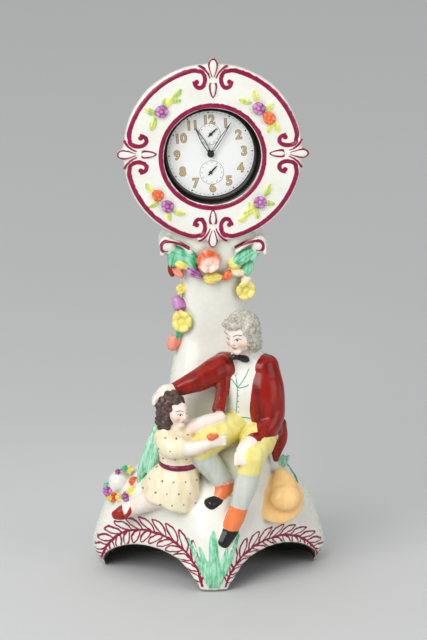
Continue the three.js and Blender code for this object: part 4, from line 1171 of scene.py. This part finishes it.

# Light and dark strength of each enamel colour; the dark one is also the painted shade in creases and cuts.
enamels = {
    'breeches': ((245, 234, 152), (208, 192, 80)),
    'stocking': ((212, 217, 207), (166, 175, 170)),
    'sock': ((247, 140, 82), (222, 96, 50)),
    'black': ((34, 34, 32), (14, 14, 14)),
    'coat': ((152, 20, 4), (84, 12, 6)),
    'lining': ((140, 70, 46), (96, 36, 28)),
    'skin': ((246, 234, 223), (233, 206, 188)),
    'grey_hair': ((214, 210, 196), (120, 114, 99)),
    'brown_hair': ((104, 78, 72), (30, 20, 20)),
    'dress': ((244, 236, 208), (222, 196, 146)),
    'shoe': ((176, 40, 30), (112, 20, 20)),
    'ribbon': ((126, 22, 74), (84, 14, 50)),
    'hat': ((255, 215, 148), (234, 172, 98)),
    'leaf': ((158, 222, 188), (54, 158, 108)),
    'blade': ((180, 228, 202), (64, 174, 120)),
    'sprig': ((246, 234, 132), (146, 188, 100)),
    'yellow': ((246, 238, 146), (216, 194, 64)),
    'orange': ((246, 142, 84), (216, 74, 34)),
    'lilac': ((212, 156, 204), (138, 52, 124)),
    'rose': ((253, 228, 214), (236, 98, 48)),
    'salmon': ((248, 178, 152), (226, 92, 62)),
    'pale': ((250, 240, 205), (238, 214, 180)),
    'red': ((156, 44, 38), (106, 20, 20)),
}
# How unevenly each is brushed, in strokes that run down the form, and how much darker it turns in its
# creases and its cuts, where colour gathers and where shade is painted.
BRUSHED = {'coat': 2.4, 'leaf': 2.4, 'brown_hair': 1.8, 'grey_hair': 1.2, 'sprig': 3.0, 'hat': 0.8}
IN_CREASES = {'grey_hair': 1.5, 'brown_hair': 1.2, 'skin': 0.6, 'rose': 0.3}
IN_CUTS = {'blade': 0.3, 'leaf': 0.5, 'lilac': 0.7, 'orange': 0.6}
carved = noted(start, 'carved')
strokes = start.node('ShaderNodeMapping', (), {'Vector': place, 'Scale': (1, 1, 0.16)})
brush = noise(start, strokes, 0.3, 3.0)
streak = noise(start, strokes, 0.9, 2.0)
base = shade
for paint, (light, dark) in enamels.items():
    # Brushing, gathered colour and painted shade in creases and cuts set how dark each enamel is.
    depth = (brush - 0.5) * BRUSHED.get(paint, 1.4) + crease * IN_CREASES.get(paint, 0.9) + 0.12
    if paint == 'blade':
        depth = depth + (streak - 0.5) * 2.6 + share((44 - pz) / 20) * 0.3
    if paint in ('grey_hair', 'brown_hair'):
        depth = depth + (grain - 0.5) * 1.6
    if paint == 'rose':
        depth = depth + share((span(px, pz, (0, 169.2)) - 4.4) / 2.2) * 0.8
    if paint == 'sprig':
        depth = depth + 0.1
    depth = share(depth + carved * IN_CUTS.get(paint, 0.4))
    tone = mix(colour(*light), colour(*dark), depth)
    base = mix(base, tone, painted(wobble * 0.35 - noted(start, 'mask_' + paint)))

# Lines in magenta: the plate's border, the capital's volutes and the laurels over the arches.
magenta = mix(colour(170, 18, 82), colour(118, 4, 50), share(fine * 2.2 - 0.5))
ahead = share(noted(start, 'front') * 4 - 0.2)
high = share((pz - (PLATE_FOOT - 2)) / 2)
plain = painted(-0.5 - noted(start, 'mask_white'))
only_plate = high * share((PLATE_FRONT + 2.4 - py) * 2) * ahead
lines = painted(plate_lines(px + wobble * 0.5, pz + wobble * 0.5) + wobble * 0.5, 0.25) * only_plate
volutes = painted(volute_lines(px, pz) + wobble * 0.5, 0.25) * ahead * share((7 - py) * 0.6)
volutes = volutes * share(span(px, pz, PLATE) - PLATE_RADIUS) * share((pz - 170) * 2)
laurel, _ = laurel_lines(wobble_x, wobble_z)
laurel = painted(laurel + wobble * 0.5, 0.25) * share(noted(start, 'front') * 5 - 0.5)
laurel = laurel * share(LAUREL_TOP - pz) * share(noted(start, 'outside') * 2 - 1)
laurel = laurel * plain * share((abs(px) - 2 - pz * 0.3) * 1.5)
base = mix(base, magenta, most(most(lines, volutes), laurel))

# Green lines: the waistcoat's edges, lapels and hem, and a grass blade on the mound's right shoulder.
VEST_TOP = 130
vest = stroke_to(px, pz, (13.6, 106.3), (12.8, 89.6), 0.2)
for at in ((10.2, 125.1), (19.8, 116.3), (9.1, 111.9), (19.4, 108.1)):
    vest = least(vest, stroke_to(px, pz, at, (13.6, 106.3), 0.4))
vest = painted(vest - 0.26 + wobble * 0.25, 0.25) * plain * ahead * share(VEST_TOP - pz) * share(-12 - py)
hem = stroke_to(px, pz, (12.8, 89.6), (7, 92.6), 0.5)
hem = least(hem, stroke_to(px, pz, (12.8, 89.6), (22, 88.8), 0.5))
vest = most(vest, painted(hem - 0.3, 0.25) * plain * ahead)
grass = stroke_to(px, pz, (39.6, 59), (44, 54.8), 0.5)
grass = least(grass, stroke_to(px, pz, (44, 54.8), (48.2, 45.6), 0.5))
grass = painted(grass - 0.55 + wobble * 0.9, 0.3) * plain * share(noted(start, 'front') * 6 + 0.3)
base = mix(base, colour(64, 150, 116), most(vest, grass))
BUTTON_SPACING = 3.15
buttons = span(px, (pz - 103.5) % BUTTON_SPACING - BUTTON_SPACING / 2, (14.2, 0)) - 0.34
buttons = painted(most(buttons, abs(pz - 97.2) - 7.9), 0.2) * plain * ahead
base = mix(base, colour(58, 62, 52), buttons * 0.9)

# Dots on the frock, in rows that step aside.
DOT_SPACING = 6.2
row = floor(pz / DOT_SPACING)
dot_x = (px + row * 2.7 + wobble * 2) % DOT_SPACING - DOT_SPACING / 2
dot_z = (pz + wobble * 2) % DOT_SPACING - DOT_SPACING / 2
dots = painted(span(dot_x, dot_z) - 0.5, 0.2) * painted(0.4 - noted(start, 'mask_dress'))
base = mix(base, colour(72, 66, 60), dots * 0.85 * ahead)


def seen_from(parts, at, turn):
    """A place measured from a turned and moved piece, as three numbers."""
    matrix = np.array(Euler(np.radians(turn), 'XYZ').to_matrix())
    return [sum((parts[j] - float(at[j])) * float(matrix[j][i]) for j in range(3)) for i in range(3)]


# Each face has brows, lidded eyes, a soft blush and lips, brushed on.
for head, k, brow_tone in (
    (MAN_HEAD, MAN_HEAD_SIZE, colour(96, 84, 70)), (GIRL_HEAD, GIRL_HEAD_SIZE, colour(62, 42, 36)),
):
    head_x, head_y, head_z = (value / k for value in seen_from((px, py, pz), *head))
    reach = span(head_x, head_z, (0, 0))
    on_face = share((-2.5 - head_y) * 1.5) * share(12.5 - reach)
    on_face = on_face * painted(0.1 - noted(start, 'mask_skin'))
    aside = abs(head_x)
    blush = share(1 - span(aside, head_z, (4.8, -3.2)) / 2.9)
    base = mix(base, colour(238, 136, 92), blush * 0.75 * on_face)
    eye = painted(span(aside, head_z, (3.3, 0.3), (1.55, 0.8)) - 1, 0.4)
    base = mix(base, colour(250, 248, 244), eye * on_face)
    pupil = painted(span(aside, head_z, (3.2, 0.25)) - 0.62, 0.3)
    lid = painted(stroke_to(aside, head_z, (1.7, 0.3), (5, 0.2), 0.95) - 0.24, 0.3)
    base = mix(base, colour(46, 38, 34), most(pupil * eye, lid) * on_face)
    brow = painted(stroke_to(aside, head_z, (1.5, 2.7), (5.6, 2.6), 0.9) - 0.3, 0.3)
    base = mix(base, brow_tone, brow * on_face * 0.85)
    lips = painted(span(head_x, head_z, (0, -5.2), (2, 0.72)) - 1, 0.5)
    base = mix(base, colour(206, 88, 66), lips * on_face * 0.85)

# The bare clay inside the hollow, darkened with painted shade, and a darker band at the feet's lowest ends.
# Painted shade: the bare clay inside the hollow is coloured far darker than the pale body.
hollow_mottle = noise(start, place, 0.8, 4.0)
inside_hollow = painted(noted(start, 'hollow') - 0.55, 0.5)
base = mix(base, mix(colour(86, 80, 70), colour(52, 48, 42), hollow_mottle), inside_hollow)
# Darker along the lowest 1.3 millimetres, at the ends of the feet.
foot_edge_dark = painted(pz - 1.3 + wobble * 1.4, 0.6) * 0.8
base = mix(base, colour(92, 84, 72), foot_edge_dark)

feed(glaze_shader, 'Base Color', base)
feed(glaze_shader, 'Roughness', 0.2 + fine * 0.14 + inside_hollow * 0.6)
bumped(glaze_shader, broad, 0.00025)
final.materials.clear()
final.materials.append(glaze)
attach(stand, 'stand_and_watch')
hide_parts('watch_stand')

# The watch stands loose in the pocket behind the plate. It has a dark steel case, a white enamel dial with
# printed numbers, four blackened hands on their arbors, and a clear crystal held in the case.
steel, steel_shader, start = new_material('case_steel', 0.35, metallic=0.9)
place, _ = in_millimetres(start)
worn = noise(start, place, 0.6, 4.0)
feed(steel_shader, 'Base Color', mix(colour(62, 60, 56), colour(30, 29, 28), worn))
feed(steel_shader, 'Roughness', 0.28 + worn * 0.2)


def mottled(name, roughness, light, dark, scale, **finish):
    """A material that varies a little between two colours, and its shader."""
    material, shader, start = new_material(name, roughness, **finish)
    place, _ = in_millimetres(start)
    feed(shader, 'Base Color', mix(colour(*light), colour(*dark), noise(start, place, scale)))
    return material, shader


enamel, _ = mottled('dial_enamel', 0.25, (250, 250, 248), (240, 241, 238), 0.1, coat=0.3)
hand_steel, _ = mottled('hand_steel', 0.5, (22, 22, 25), (12, 12, 14), 1.0, metallic=0.3)
clear, clear_shader = mottled('clear_crystal', 0.02, (150, 154, 156), (140, 145, 147), 0.1, ior=1.45)
clear_shader.inputs['Alpha'].default_value = 0.03
for node, material in (
    ('watch_case', steel), ('watch_dial', enamel), ('watch_crystal', clear), ('minute_hand', hand_steel),
    ('hour_hand', hand_steel), ('alarm_hand', hand_steel), ('seconds_hand', hand_steel),
):
    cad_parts[node].data.materials.clear()
    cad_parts[node].data.materials.append(material)

# The dial's middle across and up, its front face, and how far it is turned, in millimetres and degrees.
WATCH = (0.52825, 229.12825)
DIAL_FRONT = 8.8
DIAL_TILT = -3.5
NUMERAL_SIZE = 6.8
NUMERAL_RADIUS = 17.9
SIX_RADIUS = 18.6
MINUTE_RADIUS = 22.2
gilt, _ = mottled('numeral_gilt', 0.4, (222, 194, 138), (190, 154, 98), 1.2)
ink, _ = mottled('dial_ink', 0.4, (48, 42, 36), (28, 24, 22), 1.2)


def on_dial(radius, degrees, lift=0.0):
    """A place on the dial in metres, measured clockwise from twelve."""
    turn = math.radians(degrees + DIAL_TILT)
    x, z = WATCH[0] + radius * math.sin(turn), WATCH[1] + radius * math.cos(turn)
    return Vector((x * MM, (DIAL_FRONT - lift) * MM, z * MM))


def printed(name, text, size, at, material, swell):
    """A flat printed figure that faces the front, with its strokes made wider by a swell."""
    curve = bpy.data.curves.new(name, 'FONT')
    curve.body = text
    curve.size = size * MM
    curve.align_x = 'CENTER'
    curve.align_y = 'CENTER'
    curve.offset = swell * MM
    curve.extrude = 0.02 * MM
    curve.resolution_u = 3
    letters = linked(name, curve)
    letters.rotation_euler = (math.pi / 2, math.radians(DIAL_TILT), 0)
    letters.location = at
    bpy.context.view_layer.update()
    mesh = bpy.data.meshes.new_from_object(letters.evaluated_get(bpy.context.evaluated_depsgraph_get()))
    mesh.transform(letters.matrix_world)
    bpy.data.objects.remove(letters)
    mesh.materials.clear()
    mesh.materials.append(material)
    return mesh


marks = []
for hour in range(1, 13):
    at = on_dial(SIX_RADIUS if hour == 6 else NUMERAL_RADIUS, hour * 30, 0.05)
    over = at + Vector((0, -0.04 * MM, 0))
    marks.append(printed(f'edge_{hour}', str(hour), NUMERAL_SIZE, at, ink, 0.36))
    marks.append(printed(f'number_{hour}', str(hour), NUMERAL_SIZE, over, gilt, 0.15))


def flat_ring(name, centre, inner, outer, material, lift, around=72):
    """A flat printed ring on the dial."""
    turn = full_turn(around)
    circles = []
    for radius in (inner, outer):
        x, z = centre[0] + radius * np.sin(turn), centre[1] + radius * np.cos(turn)
        circles.append(np.stack([x, np.full(around, DIAL_FRONT - lift), z], -1))
    index = np.arange(around)
    after = np.roll(index, -1)
    faces = np.stack([index, after, after + around, index + around], axis=-1)
    obj = made_mesh(name, np.vstack(circles), faces)
    mesh = obj.data
    bpy.data.objects.remove(obj)
    mesh.materials.append(material)
    return mesh


for minute in range(60):
    at = on_dial(MINUTE_RADIUS, minute * 6)
    radius = 0.42 if minute % 5 == 0 else 0.2
    marks.append(flat_ring(f'minute_{minute}', (at.x / MM, at.z / MM), 0.02, radius, ink, 0.08, 10))
for drop, radius in ((-10.2, 6.4), (10.4, 5.8)):
    middle = (WATCH[0] - 0.06 * drop, WATCH[1] + drop)
    marks.append(flat_ring('small_dial', middle, 0.02, radius, enamel, 0.13))
    marks.append(flat_ring('small_ring', middle, radius - 0.16, radius, ink, 0.15))
    for tick in range(12):
        turn = math.radians(tick * 30)
        centre = (middle[0] + (radius - 1) * math.sin(turn), middle[1] + (radius - 1) * math.cos(turn))
        marks.append(flat_ring('small_tick', centre, 0.02, 0.26, ink, 0.15, 8))
prints = [linked('dial_print', mesh) for mesh in marks]
with bpy.context.temp_override(active_object=prints[0], selected_editable_objects=prints):
    bpy.ops.object.join()
dial_print = prints[0]
dial_print.name = 'dial_print'
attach(dial_print, 'stand_and_watch')

# The studio: a wide pale floor, a broad soft light from the upper left and front, a fill at the right, and
# an even light from above that reaches the far part of the floor.
FLOOR_RADIUS = 14000
FLOOR_SIDES = 96
turn = full_turn(FLOOR_SIDES)
rim = np.stack([FLOOR_RADIUS * np.cos(turn), FLOOR_RADIUS * np.sin(turn), np.zeros(FLOOR_SIDES)], axis=-1)
index = np.arange(FLOOR_SIDES)
slices = np.stack([index, np.roll(index, -1), np.full(FLOOR_SIDES, FLOOR_SIDES)], axis=-1)
ground = made_mesh('floor', np.vstack([rim, [(0, 0, 0)]]), slices)
paper, paper_shader, start = new_material('pale_paper', 0.85)
paper_shader.inputs['Specular IOR Level'].default_value = 0.1
place, (paper_x, paper_y, _) = in_millimetres(start)
# The tone of the paper changes with the distance in metres: painted light and shade, lighter and darker
# rings that stand in for how the light falls off across the floor around the stand.
away = span(paper_x, paper_y, (0, -100)) / 1000
tone = away.node('ShaderNodeValToRGB', {'stops': [
    (0.0, colour(197, 198, 197)), (0.1, colour(202, 203, 202)), (0.18, colour(195, 196, 195)),
    (0.35, colour(198, 199, 198)), (0.6, colour(206, 206, 205)), (1.0, colour(210, 210, 209)),
]}, {0: away / 2.4})
feed(paper_shader, 'Base Color', mix(tone, colour(214, 215, 214), noise(start, place, 0.004) * 0.12))
ground.data.materials.append(paper)


def soft_light(name, at, aim, size, power):
    """A wide lamp that is aimed at a place."""
    lamp = bpy.data.lights.new(name, 'AREA')
    lamp.shape = 'RECTANGLE'
    lamp.size, lamp.size_y = size
    lamp.energy = power
    obj = linked(name, lamp)
    obj.location = at
    obj.rotation_euler = (Vector(aim) - Vector(at)).to_track_quat('-Z', 'Y').to_euler()


soft_light('key', (-0.9, -1.2, 1.1), (0, 0, 0.14), (1.3, 1.3), 26)
soft_light('fill', (1.2, -1.0, 0.6), (0, 0, 0.14), (1.2, 1.2), 7)
sky = bpy.data.lights.new('sky', 'SUN')
sky.energy = 1.1
sky.angle = math.radians(110)
sky_lamp = linked('sky', sky)
sky_lamp.rotation_euler = (math.radians(-12), math.radians(-8), 0)
world = bpy.data.worlds.new('studio')
bpy.context.scene.world = world
world.use_nodes = True
world.node_tree.nodes['Background'].inputs['Color'].default_value = (0.9, 0.92, 0.95, 1)
world.node_tree.nodes['Background'].inputs['Strength'].default_value = 0.28

# The camera stands a little above the stand, as the photograph's did.
FOCAL_LENGTH = 167.9
CAMERA_TURN = -3
CAMERA_RISE = 13
CAMERA_DISTANCE = 1.6
view = bpy.data.cameras.new('photo_view')
view.lens = FOCAL_LENGTH
camera = linked('photo_view', view)
target = Vector((1.6, 0, 140.2)) * MM
turn, rise = math.radians(CAMERA_TURN), math.radians(CAMERA_RISE)
level = math.cos(rise)
way = Vector((math.sin(turn) * level, -math.cos(turn) * level, math.sin(rise)))
camera.location = target + CAMERA_DISTANCE * way
camera.rotation_euler = (target - camera.location).to_track_quat('-Z', 'Y').to_euler()
bpy.context.scene.camera = camera
bpy.context.scene.view_settings.view_transform = 'Standard'
